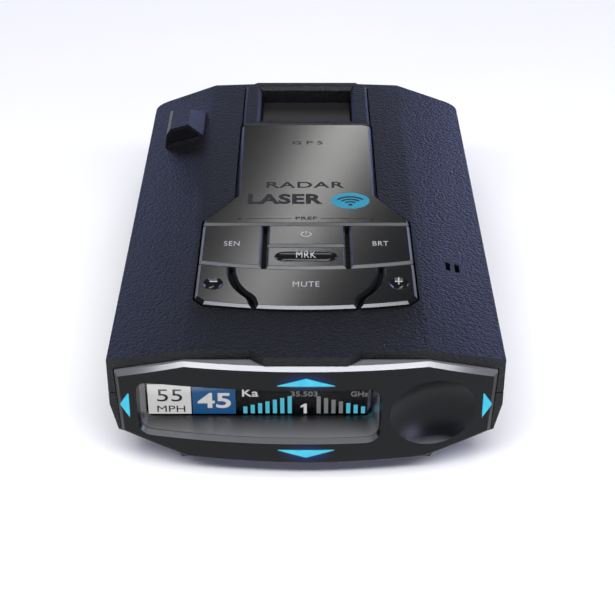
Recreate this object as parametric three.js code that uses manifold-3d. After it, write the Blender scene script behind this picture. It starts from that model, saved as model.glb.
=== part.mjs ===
// Windshield-mounted radar detector: a two-part plastic housing with a curved front bezel, a keypad of
// seven push keys, a recessed display, a magnetic mount pocket and the electronics inside.
// Millimetres. +X is the driver's right, -Y faces the driver, +Z is up. The origin is on the surface the
// detector stands on, under the middle of its length and width.
import * as THREE from "three";
import { mergeVertices } from "three/addons/utils/BufferGeometryUtils.js";
import Module from "manifold-3d";

const wasm = await Module();
wasm.setup();

// ---- driving dimensions ----------------------------------------------------------------------------
const bodyWidth = 81.2;
const bodyLength = 133; // from the middle of the bezel's face to the middle of the rear end
const bodyHeight = 30.5; // to the flat top; the laser hood stands above it
const wall = 1.8; // housing wall
const clearance = 0.3; // between pieces that rest on or fit into each other
const seamDrop = 12.6; // from the flat top to the parting plane of the two housing halves
const topFlatWidth = 49.2;
const shoulderDrop = 4.6; // from the flat top to the shoulder, where the body is widest
const bellyWidth = 49;
const keelHeight = 4.6; // height of the hull's underside beside the belly
const keelWidth = 55;
const chineHeight = 8.6; // lower edge of the side wall
const chineInset = 1.5;
const sideWallDrop = 3; // from the parting plane to the widest part of the lower housing
const noseLength = 12; // rising stretch of the underside at the front
const noseLift = 2.4;
const sternCut = 4.5; // chamfer under the rear end

const faceRadius = 160; // plan radius of the bezel's face
const bezelWidth = 78;
const bezelDrop = 4.5; // from the bezel's top ledge to its shoulder
const bezelLift = 4.8; // from the bezel's bottom edge to its lower corner
const bezelTopDrop = 2.3; // from the flat top to the bezel's top ledge
const bezelBottom = 3.9;
const bezelBottomRise = 0.4; // from the middle of the bezel's bottom edge to its bends
const bezelSideLean = 0.7;
const bezelWall = 1.3;
const faceWall = 2;
const bezelChamfer = 0.8;
const cornerSetback = 6.5; // housing corner, behind the middle of the face
const lipSetback = 3.1; // housing lip, behind the middle of the face
const tabSetback = 0.6;
const tabWidth = 16.7;
const tabRootWidth = 22.6;
const chinSetback = 5; // lower housing lip, behind the middle of the face

const wellLeft = -35.4; // display well, at the face
const wellRight = 15.6;
const wellFloor = 9.4;
const wellRoof = 22.95;
const wellRadius = 3.3;
const wellTaper = 1.9; // how far each side wall leans in by the time it reaches the display
const wellRoofTaper = 1.1;
const wellDepth = 9.9; // from the face to the back of the well and of the bezel's skirt
const linerWall = 0.7;
const lensThickness = 0.8;
const moduleThickness = 2.6;

const dishX = 26; // oval thumb dish in the face
const dishZ = 15.9;
const dishWidth = 18.9;
const dishHeight = 15.9;
const dishDepth = 2.8;

const arrowBase = 11.5; // upper and lower warning arrows
const arrowRise = 1.8;
const sideArrowBase = 5.8;
const sideArrowRise = 1.8;
const arrowUpMargin = 2.5; // from the upper arrow's tip to the bezel's top ledge
const arrowDownMargin = 2.1; // from the lower arrow's tip to the bezel's bottom edge
const sideArrowMargin = 0.9;
const arrowClearance = 0.15;
const ledThickness = 0.9;
const ledSize = [2.8, 1.6]; // along and across an arrow's base

const keyRise = 0.8; // keys and panel above the housing
const keyThickness = 1.8;
const keyTravel = 0.5;
const keyGap = 0.45; // between rows
const columnGap = 0.85;
const recessMargin = 0.4; // housing recess round the keys and the panel
const padWidth = 46.8;
const padFrontSetback = 17.9; // front of the key field, behind the middle of the bezel's face
const rowOneDepth = 18.9; // on the middle line
const rowTwoDepth = 15.65;
const powerDepth = 9.3;
const centreKeyWidth = 17.6;
const keyArcRadius = 110;
const keyCornerCut = 1.9;
const keyChamfer = 0.6; // round the tops of the keys and the panel
const padBodyLap = 2; // how far the recess floor's rim reaches past the recess
const trayWall = 1.7;
const dimpleX = 19.8; // finger dimples on the volume keys
const dimpleSetback = 27.3; // behind the middle of the face
const dimpleLength = 4.9;
const dimpleWidth = 4.2;
const dimpleDepth = 0.8;
const pillLength = 13.8; // finger groove on the mark key
const pillWidth = 4.2;
const pillDepth = 0.8;
const pillSetback = 0.1; // in front of the mark key's middle

const panelNeckFront = 32.4; // panel's narrow part, measured along the width
const panelNeckRear = 33;
const panelFlareDepth = 2.2; // straight stretch next to the keys
const panelFlareLength = 11.8;
const panelCornerCut = 1;

const frameWidth = 32.6; // mount frame round the magnet pocket
const frameCornerCut = 2.8;
const frameChamfer = 0.6; // round the frame's outside
const pocketChamfer = 0.9; // round the pocket's mouth
const frameRearMargin = 0.3; // behind the frame, to the rear end of the housing
const pocketWidth = 23.8;
const pocketLength = 20.4;
const pocketRearMargin = 4.1;
const frameBar = 2.2; // bar of the frame between the pocket and the panel
const pocketDepth = 4.3;
const plateThickness = 1;
const pocketFloorWall = 1.7;
const magnetSize = [20, 12, 3];

const hoodX = -31.3; // rear laser hood
const hoodWidth = 10;
const hoodFront = 33.8;
const hoodTopLength = 9.2;
const hoodTailLength = 7.2;
const hoodHeight = 4.9;
const hoodEdgeCut = 1.1;
const hoodSideLean = 3.6;
const hoodRim = 0.45;
const hoodSideRise = 0.9; // upright foot of the hood's inner side
const hoodOuterLean = 0.7;
const windowInset = 0.1; // the hood's window, behind its mouth
const windowFit = 0.15;
const windowThickness = 1;

const rearFlatWidth = 28.8;
const rearBow = 0.8; // the rear end's middle stands this far behind its facet corners
const rearCornerSetback = 3.6;
const rearCornerRadius = 3.5;
const roadWindow = [34, 12.5];
const roadWindowBase = 9.5;
const roadWindowFlange = 1.2;
const roadWindowPlate = 1.5;
const receiverSize = [14, 3.4]; // laser receiver behind the road window
const slotPairX = [31.2, 33.2]; // two slots over the light sensor
const slotY = -27.5;
const slotLength = 3.3;
const slotWidth = 1;

const boardThickness = 1.6;
const mainBoardSideMargin = 7.6; // from the board's edge to the widest part of the body
const mainBoardRearMargin = 34.6;
const switchSize = 4.5;
const switchHeight = 2.6;
const plungerRadius = 1;
const plungerRise = 1.1;
const stemRadius = 2;
const screwX = 20;
const screwInset = [10.4, 10.5]; // front pair behind the display well, rear pair from the rear end
const screwRadius = 1;
const screwHeadRadius = 2;
const screwHeadHeight = 1.5;
const screwHeadLift = 0.5; // the heads' faces are sunk this far into the underside
const driveSize = 0.9; // hexagon socket: its radius and its depth
const postRadius = 3;
const postBore = 1.3;
const bossWall = 0.8; // of the seats round the screw heads, outside the posts

const jackOpening = [10.4, 6.9]; // six-way modular power jack
const jackDepth = 10.5;
const jackWall = 0.9;
const jackY = 16;
const mouthMargin = 0.3; // housing cuts round the sockets' mouths
const usbOpening = [7.6, 2.6];
const usbDepth = 5.5;
const usbWall = 0.4;
const socketPitch = 14; // between the two sockets in the left side
const earRadius = 1.8;
const earLength = 12;
const earWall = 0.6;
const earSideWall = 1.2;
const earSetback = 5.9; // in front of the main board's rear edge
const speakerRadius = 14;
const speakerHeight = 6;
const speakerY = 12;
const speakerRim = 1.6;
const grilleCount = 5;
const grillePitch = 3.4;
const grilleSlot = [18, 1.6];
const labelSize = [34, 18];
const labelY = 44;
const labelRecess = 0.7;
const labelGap = 0.2;
const labelRadius = 1.5;
const labelLift = 0.1; // the label's face, above the underside
const hornTop = 18.6; // upper side of the road horn
const hornWall = 1.1;
const hornThroat = [9, 5];
const hornBack = 4; // solid casting behind the throat
const roadHornMouth = [30, 12.2];
const roadHornThroatY = 38;
const rearHornMouth = [24, 10];
const rearHornThroatY = -18;
const shieldSize = [30, 26, 5];
const shieldY = 12;
const sensorSize = 3.2;
const sensorOffset = 0.4; // of the light sensor's middle, towards the board's middle
const gpsSize = 18;
const gpsSetback = 20; // the satellite antenna's middle, in front of the mount pocket
const ribbonWidth = 14;
const ribbonX = -10;

// ---- places that follow from them ------------------------------------------------------------------
const faceY = -bodyLength / 2;
const rearY = bodyLength / 2;
const halfWidth = bodyWidth / 2;
const topFlat = topFlatWidth / 2;
const lipY = faceY + lipSetback;
const cornerY = faceY + cornerSetback;
const seamHeight = bodyHeight - seamDrop;
const bezelTop = bodyHeight - bezelTopDrop;
const keyTop = bodyHeight + keyRise;
const keyUnderside = keyTop - keyThickness;
const recessFloor = keyUnderside - keyTravel - clearance;
const trayUnderside = recessFloor - trayWall;
const boardTop = trayUnderside - clearance - plungerRise - switchHeight + 0.6;
const boardUnderside = boardTop - boardThickness;
const switchTop = boardTop + clearance + switchHeight;
const plungerTop = switchTop + plungerRise;
const stemBottom = plungerTop + clearance;
const wellBackY = faceY + wellDepth;
const lensY = wellBackY + clearance;
const padFront = faceY + padFrontSetback;
const rowTwoRear = padFront + rowTwoDepth;
const rowOneFront = rowTwoRear + keyGap;
const padRear = rowOneFront + rowOneDepth;
const powerFront = padRear - powerDepth;
const panelFront = padRear + keyGap;
const dimpleY = faceY + dimpleSetback;
const frameRear = rearY - frameRearMargin;
const pocketRear = rearY - pocketRearMargin;
const pocketFront = pocketRear - pocketLength;
const frameFront = pocketFront - frameBar;
const panelRear = frameFront - clearance;
const pocketFloor = keyTop - pocketDepth;
const pocketTray = pocketFloor - plateThickness - clearance;
const mainRear = rearY - mainBoardRearMargin;
const mainHalf = halfWidth - mainBoardSideMargin;
const earY = mainRear - earSetback;
const usbY = earY - socketPitch;

// ---- solids ----------------------------------------------------------------------------------------
/** A manifold-3d solid from a closed three.js geometry. */
function solid(geometry) {
  const bare = geometry.index ? geometry.toNonIndexed() : geometry.clone();
  bare.deleteAttribute("normal");
  bare.deleteAttribute("uv");
  const merged = mergeVertices(bare, 1e-4);
  return new wasm.Manifold(
    new wasm.Mesh({
      numProp: 3,
      vertProperties: merged.attributes.position.array,
      triVerts: new Uint32Array(merged.index.array),
    }),
  );
}

/** A three.js geometry from a manifold-3d solid. */
function geometryOf(manifold) {
  const mesh = manifold.getMesh();
  const vertices = new Float32Array(mesh.numVert * 3);
  for (let i = 0; i < mesh.numVert; i++) {
    vertices.set(mesh.vertProperties.subarray(i * mesh.numProp, i * mesh.numProp + 3), i * 3);
  }
  const geometry = new THREE.BufferGeometry();
  geometry.setAttribute("position", new THREE.BufferAttribute(vertices, 3));
  geometry.setIndex(new THREE.BufferAttribute(mesh.triVerts, 1));
  return geometry;
}

const extrusion = (points, depth) =>
  new THREE.ExtrudeGeometry(new THREE.Shape(points.map(([u, v]) => new THREE.Vector2(u, v))), {
    depth,
    bevelEnabled: false,
  });

/** A prism standing along Z on an outline of [x, y] points. */
const prismZ = (points, z0, z1) => solid(extrusion(points, z1 - z0).translate(0, 0, z0));

/** A prism lying along Y on an outline of [x, z] points. */
const prismY = (points, y0, y1) =>
  solid(extrusion(points, y1 - y0).rotateX(Math.PI / 2).translate(0, y1, 0));

const yzxBasis = new THREE.Matrix4().makeBasis(
  new THREE.Vector3(0, 1, 0),
  new THREE.Vector3(0, 0, 1),
  new THREE.Vector3(1, 0, 0),
);

/** A prism lying along X on an outline of [y, z] points. */
const prismX = (points, x0, x1) =>
  solid(extrusion(points, x1 - x0).applyMatrix4(yzxBasis).translate(x0, 0, 0));

const box = (x0, x1, y0, y1, z0, z1) =>
  solid(
    new THREE.BoxGeometry(x1 - x0, y1 - y0, z1 - z0).translate(
      (x0 + x1) / 2,
      (y0 + y1) / 2,
      (z0 + z1) / 2,
    ),
  );

/** An upright cylinder. */
const cylinderZ = (x, y, radius, z0, z1, sides = 20) =>
  solid(
    new THREE.CylinderGeometry(radius, radius, z1 - z0, sides)
      .rotateX(Math.PI / 2)
      .translate(x, y, (z0 + z1) / 2),
  );

/** A cylinder lying along X. */
const cylinderX = (y, z, radius, x0, x1, sides = 20) =>
  solid(
    new THREE.CylinderGeometry(radius, radius, x1 - x0, sides)
      .rotateZ(Math.PI / 2)
      .translate((x0 + x1) / 2, y, z),
  );

const ellipsoid = (centre, radii, sides) =>
  solid(
    new THREE.SphereGeometry(1, sides, sides / 2)
      .rotateX(Math.PI / 2)
      .scale(...radii)
      .translate(...centre),
  );

const join = (...solids) => solids.reduce((a, b) => a.add(b));
const cut = (from, ...solids) => solids.reduce((a, b) => a.subtract(b), from);

/** A convex, anticlockwise outline with every side moved in by the distance, or out where it is negative. */
function inset(points, distance) {
  const count = points.length;
  const sides = points.map(([x, y], i) => {
    const [x2, y2] = points[(i + 1) % count];
    const length = Math.hypot(x2 - x, y2 - y);
    const normal = [-(y2 - y) / length, (x2 - x) / length];
    return { normal, offset: normal[0] * x + normal[1] * y + distance };
  });
  return sides.map((side, i) => {
    const last = sides[(i + count - 1) % count];
    const det = last.normal[0] * side.normal[1] - last.normal[1] * side.normal[0];
    return [
      (last.offset * side.normal[1] - side.offset * last.normal[1]) / det,
      (side.offset * last.normal[0] - last.offset * side.normal[0]) / det,
    ];
  });
}

/** An outline and its mirror image across the middle plane, from right-hand points listed upwards. */
function mirrored(right) {
  const both = [...right, ...right.map(([x, y]) => [-x, y]).reverse()];
  return both.filter(([x, y], i) => {
    const [lastX, lastY] = both.at(i - 1);
    return Math.hypot(x - lastX, y - lastY) > 1e-6;
  });
}

/** An outline with its corners rounded; each corner's radius is its own, and 0 leaves it sharp. */
function rounded(points, radii, steps = 4) {
  const out = [];
  points.forEach((corner, i) => {
    const radius = Array.isArray(radii) ? radii[i] : radii;
    if (!radius) {
      out.push(corner);
      return;
    }
    const at = new THREE.Vector2(...corner);
    const before = new THREE.Vector2(...points[(i + points.length - 1) % points.length]).sub(at).normalize();
    const after = new THREE.Vector2(...points[(i + 1) % points.length]).sub(at).normalize();
    const half = Math.acos(THREE.MathUtils.clamp(before.dot(after), -1, 1)) / 2;
    const centre = before.clone().add(after).normalize().multiplyScalar(radius / Math.sin(half)).add(at);
    const start = before.clone().multiplyScalar(radius / Math.tan(half)).add(at).sub(centre);
    const end = after.clone().multiplyScalar(radius / Math.tan(half)).add(at).sub(centre);
    const turn = Math.atan2(start.x * end.y - start.y * end.x, start.dot(end));
    for (let k = 0; k <= steps; k++) {
      const spoke = start.clone().rotateAround(new THREE.Vector2(), (turn * k) / steps);
      out.push([centre.x + spoke.x, centre.y + spoke.y]);
    }
  });
  return out;
}

const rectangle = (x0, x1, y0, y1) => [[x0, y0], [x1, y0], [x1, y1], [x0, y1]];

/** A closed solid between two outlines of [x, z] points with as many corners each, at two places along Y. */
function loftY(front, frontY, back, backY) {
  const count = front.length;
  const vertices = [...front.map(([x, z]) => [x, frontY, z]), ...back.map(([x, z]) => [x, backY, z])];
  const faces = [];
  for (let i = 0; i < count; i++) {
    const next = (i + 1) % count;
    faces.push([i, count + i, next], [next, count + i, count + next]);
    if (i > 0 && next > 0) faces.push([0, i, next], [count, count + next, count + i]);
  }
  const geometry = new THREE.BufferGeometry();
  geometry.setAttribute("position", new THREE.Float32BufferAttribute(vertices.flat(), 3));
  geometry.setIndex(faces.flat());
  return solid(geometry);
}

/** A prism along Z on an outline: straight from z0 to z1, then drawn in by the distance up to z2. */
function taperedPrism(points, z0, z1, z2, distance) {
  const count = points.length;
  const rings = [
    points.map(([x, y]) => [x, y, z0]),
    points.map(([x, y]) => [x, y, z1]),
    inset(points, distance).map(([x, y]) => [x, y, z2]),
  ];
  const faces = [];
  const [bottom, , top] = rings.map((ring) =>
    THREE.ShapeUtils.triangulateShape(ring.map(([x, y]) => new THREE.Vector2(x, y)), []),
  );
  faces.push(...bottom.map(([a, b, c]) => [a, c, b]));
  faces.push(...top.map((face) => face.map((k) => 2 * count + k)));
  for (let i = 0; i < 2 * count; i++) {
    const next = i - (i % count) + ((i + 1) % count);
    faces.push([i, next, next + count], [i, next + count, i + count]);
  }
  const geometry = new THREE.BufferGeometry();
  geometry.setAttribute("position", new THREE.Float32BufferAttribute(rings.flat(2), 3));
  geometry.setIndex(faces.flat());
  return solid(geometry);
}

// ---- the object's root group and its finishes ------------------------------------------------------
const detector = new THREE.Group();
const finish = (color, roughness, metalness = 0, extra = {}) =>
  new THREE.MeshStandardMaterial({ color, roughness, metalness, ...extra });
const finishes = {
  shell: finish(0x1b1e27, 0.6),
  bezel: finish(0x26282c, 0.42),
  panel: finish(0x55575a, 0.35, 0.6),
  key: finish(0x4a4c4f, 0.35, 0.5),
  liner: finish(0x3a3c3e, 0.25),
  glass: finish(0x020203, 0.08),
  light: finish(0x2fc4e4, 0.3, 0, { emissive: 0x2fc4e4 }),
  board: finish(0x0f4a2c, 0.5),
  metal: finish(0xb4b6ba, 0.35, 1),
  ceramic: finish(0xd8cdb4, 0.6),
  black: finish(0x111214, 0.5),
  white: finish(0xe6e6e2, 0.5),
  steel: finish(0x3b3d42, 0.4, 1),
};

/** Adds one named piece to the detector. */
function add(name, manifold, material) {
  const mesh = new THREE.Mesh(geometryOf(manifold), finishes[material]);
  mesh.name = name;
  detector.add(mesh);
}

// ---- housing outlines ------------------------------------------------------------------------------
const bodySection = mirrored([
  [bellyWidth / 2, 0],
  [keelWidth / 2, keelHeight],
  [halfWidth - chineInset, chineHeight],
  [halfWidth, seamHeight - sideWallDrop],
  [halfWidth, bodyHeight - shoulderDrop],
  [topFlat, bodyHeight],
]);
const rearCornerY = rearY - rearCornerSetback;
const rearOutline = [
  [halfWidth, rearCornerY],
  [topFlat, rearY - rearBow],
  [rearFlatWidth / 2, rearY],
];
const upperPlan = mirrored([[topFlat, lipY], [halfWidth, cornerY], ...rearOutline]);
const lowerPlan = mirrored([[topFlat, faceY + chinSetback], [halfWidth, cornerY], ...rearOutline]);
const bodyProfile = [
  [faceY + chinSetback + noseLength, 0],
  [rearY - sternCut, 0],
  [rearY + 1, sternCut + 1],
  [rearY + 1, bodyHeight + 1],
  [faceY - 1, bodyHeight + 1],
  [faceY - 1, noseLift],
  [faceY + chinSetback, noseLift],
];
const bezelOutline = mirrored([
  [0, bezelBottom],
  [topFlat, bezelBottom + bezelBottomRise],
  [bezelWidth / 2 - bezelSideLean, bezelBottom + bezelBottomRise + bezelLift],
  [bezelWidth / 2, bezelTop - bezelDrop],
  [topFlat, bezelTop],
]);
const rearRadii = (plan) =>
  plan.map(([x, y]) => (Math.abs(x) === halfWidth && y > 0 ? rearCornerRadius : 0));

const profileSpan = halfWidth + 1;
/** The body's outer shape, or with a distance the space that far inside it. */
function hull(plan, distance) {
  const outline = rounded(plan, rearRadii(plan));
  const section = distance ? inset(bodySection, distance) : bodySection;
  const profile = distance ? inset(bodyProfile, distance) : bodyProfile;
  return prismY(section, faceY - 1, rearY + 1)
    .intersect(prismZ(distance ? inset(outline, distance) : outline, -1, bodyHeight + 1))
    .intersect(prismX(profile, -profileSpan, profileSpan));
}

/** The room left inside both walls, a clearance off them. */
const room = hull(lowerPlan, wall + clearance);
const bezelSeat = prismY(inset(bezelOutline, -clearance), faceY - 1, wellBackY + clearance);

// ---- outlines of the keys and the panel ------------------------------------------------------------
const arcY = (x) => keyArcRadius - Math.sqrt(keyArcRadius ** 2 - x ** 2);
const padHalf = padWidth / 2;
const padCornerRise = keyCornerCut * 0.9;
const arcStep = 3;
/** Points along a key row's curved edge, from x0 to x1, whose middle is at y. */
function rowEdge(y, x0, x1) {
  const steps = Math.ceil(Math.abs(x1 - x0) / arcStep);
  return Array.from({ length: steps + 1 }, (_, i) => {
    const x = x0 + ((x1 - x0) * i) / steps;
    return [x, y + arcY(x)];
  });
}
const panelShoulder = panelFront + panelFlareDepth;
const panelWaist = panelShoulder + panelFlareLength;
const panelOutline = mirrored([
  [padHalf, panelFront],
  [padHalf, panelShoulder],
  [panelNeckFront / 2, panelWaist],
  [panelNeckRear / 2, panelRear - panelCornerCut],
  [panelNeckRear / 2 - 2 * panelCornerCut, panelRear],
]);
const frameOutline = mirrored([
  [frameWidth / 2, frameFront],
  [frameWidth / 2, frameRear - frameCornerCut],
  [frameWidth / 2 - frameCornerCut, frameRear],
]);
const pocketOutline = rectangle(-pocketWidth / 2, pocketWidth / 2, pocketFront, pocketRear);

/** The curved gap between the left volume key and the mute key, from the rear to the front. */
const gapTop = new THREE.Vector2(-0.7 * padHalf, rowTwoRear + 1.6);
const gapKnee = new THREE.Vector2(-0.52 * padHalf, padFront + 0.3 * rowTwoDepth);
const gapFoot = new THREE.Vector2(-0.464 * padHalf, padFront - 1);
const gapCurve = [
  ...new THREE.CubicBezierCurve(
    gapTop,
    new THREE.Vector2(gapTop.x + 0.3, padFront + 0.7 * rowTwoDepth),
    new THREE.Vector2(gapKnee.x - 2.6, gapKnee.y + 2.6),
    gapKnee,
  ).getPoints(8),
  ...new THREE.CubicBezierCurve(
    gapKnee,
    new THREE.Vector2(gapKnee.x + 0.8, gapKnee.y - 0.9),
    new THREE.Vector2(gapFoot.x - 0.1, gapFoot.y + 3.4),
    gapFoot,
  ).getPoints(4).slice(1),
];
/** The gap's edge, moved sideways from its middle line by the distance, towards -X where it is negative. */
const gapEdge = (distance) =>
  gapCurve.map((point, i) => {
    const before = gapCurve[Math.max(i - 1, 0)];
    const after = gapCurve[Math.min(i + 1, gapCurve.length - 1)];
    const along = after.clone().sub(before).normalize();
    return [point.x - along.y * distance, point.y + along.x * distance];
  });
/** The stretch of a gap's edge inside the second row, ending on the row's two curved edges. */
function insideRowTwo(edge) {
  const over = ([x, y], rowY) => y - rowY - arcY(x);
  const shortest = 2 * keyChamfer;
  const inside = edge.filter((p) => over(p, padFront) > shortest && over(p, rowTwoRear) < -shortest);
  const crossing = (a, b, rowY) => {
    const share = over(a, rowY) / (over(a, rowY) - over(b, rowY));
    return [a[0] + (b[0] - a[0]) * share, a[1] + (b[1] - a[1]) * share];
  };
  return [
    crossing(edge[edge.indexOf(inside[0]) - 1], inside[0], rowTwoRear),
    ...inside,
    crossing(inside.at(-1), edge[edge.indexOf(inside.at(-1)) + 1], padFront),
  ];
}
const flip = ([x, y]) => [-x, y];
const outside = 60;
const centreHalf = centreKeyWidth / 2;
const columnX = centreHalf + columnGap;
const muteSide = insideRowTwo(gapEdge(columnGap / 2));
const volumeSide = insideRowTwo(gapEdge(-columnGap / 2));
const markRear = powerFront - keyGap;
const outerKeys = {
  volume_down: [
    ...rowEdge(padFront, -padHalf + keyCornerCut, volumeSide.at(-1)[0]).slice(0, -1),
    ...volumeSide.toReversed(),
    ...rowEdge(rowTwoRear, volumeSide[0][0], -padHalf).slice(1),
    [-padHalf, padFront + arcY(padHalf) + padCornerRise],
  ],
  sensitivity: [...rowEdge(rowOneFront, -padHalf, -columnX), [-columnX, padRear], [-padHalf, padRear]],
};
const keyOutlines = {
  mute: [
    ...rowEdge(padFront, muteSide.at(-1)[0], -muteSide.at(-1)[0]),
    ...muteSide.slice(1, -1).map(flip).reverse(),
    ...rowEdge(rowTwoRear, -muteSide[0][0], muteSide[0][0]),
    ...muteSide.slice(1, -1),
  ],
  volume_down: outerKeys.volume_down,
  volume_up: outerKeys.volume_down.map(flip).reverse(),
  sensitivity: outerKeys.sensitivity,
  brightness: outerKeys.sensitivity.map(flip).reverse(),
  power: rectangle(-centreHalf, centreHalf, powerFront, padRear),
  mark: [...rowEdge(rowOneFront, -centreHalf, centreHalf), [centreHalf, markRear], [-centreHalf, markRear]],
};

// ---- upper housing ---------------------------------------------------------------------------------
const padFrontOutline = [
  ...rowEdge(padFront, -padHalf + keyCornerCut, padHalf - keyCornerCut),
  [padHalf, padFront + arcY(padHalf) + padCornerRise],
  [padHalf, panelShoulder],
  [panelNeckFront / 2, panelWaist],
  [-panelNeckFront / 2, panelWaist],
  [-padHalf, panelShoulder],
  [-padHalf, padFront + arcY(padHalf) + padCornerRise],
];
/** The keys' and the panel's shared outline as a solid, grown by the distance. */
const padHull = (grow, z0, z1) =>
  join(
    prismZ(inset(padFrontOutline, -grow), z0, z1),
    prismZ(inset(rectangle(-panelNeckRear / 2, panelNeckRear / 2, panelWaist - 1, panelRear), -grow), z0, z1),
  );
const padRecess = () => padHull(recessMargin, recessFloor, bodyHeight + 1);
const frameRecess = () => prismZ(inset(frameOutline, -clearance), pocketTray, bodyHeight + 1);
const pocketTrayOutline = inset(frameOutline, -clearance - wall);

const keyPlaces = {
  mute: [0, padFront + 0.5 * rowTwoDepth],
  volume_down: [-dimpleX, dimpleY],
  volume_up: [dimpleX, dimpleY],
  sensitivity: [-(columnX + padHalf) / 2, rowOneFront + 0.56 * rowOneDepth],
  brightness: [(columnX + padHalf) / 2, rowOneFront + 0.56 * rowOneDepth],
  power: [0, (powerFront + padRear) / 2],
  mark: [0, (rowOneFront + powerFront) / 2],
};
const shoulderSlope = shoulderDrop / (halfWidth - topFlat);
/** Height of the sloping flank at x. */
const flankZ = (x) => bodyHeight - shoulderSlope * Math.max(0, Math.abs(x) - topFlat);

const hoodLeft = hoodX - hoodWidth / 2;
const hoodRight = hoodX + hoodWidth / 2;
const hoodPeak = hoodRight - hoodSideLean;
const hoodCrest = hoodLeft + hoodOuterLean + 1;
const hoodSection = [
  [hoodLeft, flankZ(hoodLeft) - 1.5],
  [hoodRight, flankZ(hoodRight) - 1.5],
  [hoodRight, flankZ(hoodRight) + hoodSideRise],
  [hoodPeak, flankZ(hoodPeak) + hoodHeight],
  [hoodCrest, flankZ(hoodCrest) + hoodHeight],
  [hoodLeft + hoodOuterLean, flankZ(hoodLeft) + hoodHeight - hoodEdgeCut],
];
const hoodRear = hoodFront + hoodTopLength + hoodTailLength;
const hoodCeiling = flankZ(hoodPeak) + hoodHeight + 1;
const hoodProfile = [
  [hoodFront, flankZ(hoodLeft) - 2],
  [hoodRear, flankZ(hoodLeft) - 2],
  [hoodRear, flankZ(hoodRight) - 0.5],
  [hoodFront + hoodTopLength, hoodCeiling - 1],
  [hoodFront + hoodTopLength, hoodCeiling],
  [hoodFront, hoodCeiling],
];
const hood = prismY(hoodSection, hoodFront, hoodRear).intersect(
  prismX(hoodProfile, hoodLeft - 1, hoodRight + 1),
);
const hoodWindowOutline = inset(
  [
    [hoodLeft + 0.1, flankZ(hoodLeft) + 0.2],
    [hoodRight, flankZ(hoodRight) + 0.4],
    ...hoodSection.slice(3),
  ],
  hoodRim,
);
const hoodBore = prismY(hoodWindowOutline, hoodFront - 1, hoodFront + hoodTopLength - 1);


const jackSpanY = [jackY - jackOpening[0] / 2, jackY + jackOpening[0] / 2];
const usbSpanY = [usbY - usbOpening[0] / 2, usbY + usbOpening[0] / 2];
const jackTop = boardUnderside - clearance;
const jackMouth = [jackTop - jackWall - jackOpening[1], jackTop - jackWall];
const usbTop = boardUnderside - clearance;
const earZ = boardUnderside - clearance - earRadius - earWall;
/** Cuts for the sockets through the side walls. */
const portCuts = () => [
  box(
    halfWidth - wall - 1,
    halfWidth + 1,
    jackSpanY[0] - mouthMargin,
    jackSpanY[1] + mouthMargin,
    jackMouth[0] - mouthMargin,
    jackMouth[1] + mouthMargin,
  ),
  box(
    -halfWidth - 1,
    -halfWidth + wall + 1,
    usbSpanY[0] - mouthMargin,
    usbSpanY[1] + mouthMargin,
    usbTop - usbOpening[1] - 2 * mouthMargin,
    usbTop,
  ),
  cylinderX(earY, earZ, earRadius + 0.5, -halfWidth - 1, -halfWidth + wall + 1),
];
const roadWindowTop = roadWindowBase + roadWindow[1];
const roadWindowHalf = roadWindow[0] / 2;
const roadWindowCut = box(
  -roadWindowHalf,
  roadWindowHalf,
  rearY - wall - 2,
  rearY + 1,
  roadWindowBase,
  roadWindowTop,
);

// The front pair stands behind the well, but stays in front of the volume keys' switches.
const frontScrewY = Math.min(
  faceY + wellDepth + screwInset[0],
  dimpleY - switchSize / 2 - clearance - postRadius,
);
const screwPlaces = [
  [-screwX, frontScrewY, "front_left"],
  [screwX, frontScrewY, "front_right"],
  [-screwX, rearY - screwInset[1], "rear_left"],
  [screwX, rearY - screwInset[1], "rear_right"],
];
/** Top of the lower post and bottom of the upper post at a screw: the front pair grips the main board. */
const postMeeting = (y) =>
  y < 0
    ? [boardUnderside - clearance, boardTop + clearance]
    : [seamHeight - clearance, seamHeight + clearance];

function upperHousing() {
  const above = box(-outside, outside, -2 * outside, 2 * outside, seamHeight + clearance / 2, bodyHeight + 8);
  const tab = prismZ(
    mirrored([[tabRootWidth / 2, lipY], [tabWidth / 2, faceY + tabSetback]]).reverse(),
    bezelTop + clearance,
    bodyHeight,
  );
  const shell = cut(hull(upperPlan, 0), hull(upperPlan, wall));
  const outer = join(hull(upperPlan, 0), hood);
  const keyTray = padHull(padBodyLap, trayUnderside, bodyHeight - 0.5);
  const pocketWalls = prismZ(pocketTrayOutline, pocketTray - pocketFloorWall, bodyHeight - 0.5);
  const posts = screwPlaces.map(([x, y]) =>
    cylinderZ(x, y, postRadius, postMeeting(y)[1], bodyHeight - 0.5),
  );
  const bores = screwPlaces.map(([x, y]) =>
    cylinderZ(x, y, screwRadius, postMeeting(y)[1] - 1, trayUnderside - 0.8, 12),
  );
  const stems = Object.values(keyPlaces).map(([x, y]) =>
    cylinderZ(x, y, stemRadius + 0.5, trayUnderside - 1, bodyHeight, 16),
  );
  const slots = slotPairX.map((x) =>
    prismZ(
      rectangle(x - slotWidth / 2, x + slotWidth / 2, slotY - slotLength / 2, slotY + slotLength / 2),
      seamHeight,
      bodyHeight + 1,
    ),
  );
  const solidParts = join(shell, keyTray, pocketWalls, ...posts).intersect(outer);
  return cut(
    join(solidParts, tab, hood),
    padRecess(),
    frameRecess(),
    hoodBore,
    bezelSeat,
    roadWindowCut,
    ...bores,
    ...stems,
    ...slots,
    ...portCuts(),
  ).intersect(above);
}
add("top_case", upperHousing(), "shell");

// ---- lower housing ---------------------------------------------------------------------------------

const labelOutline = rectangle(
  -labelSize[0] / 2,
  labelSize[0] / 2,
  labelY - labelSize[1] / 2,
  labelY + labelSize[1] / 2,
);

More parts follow.
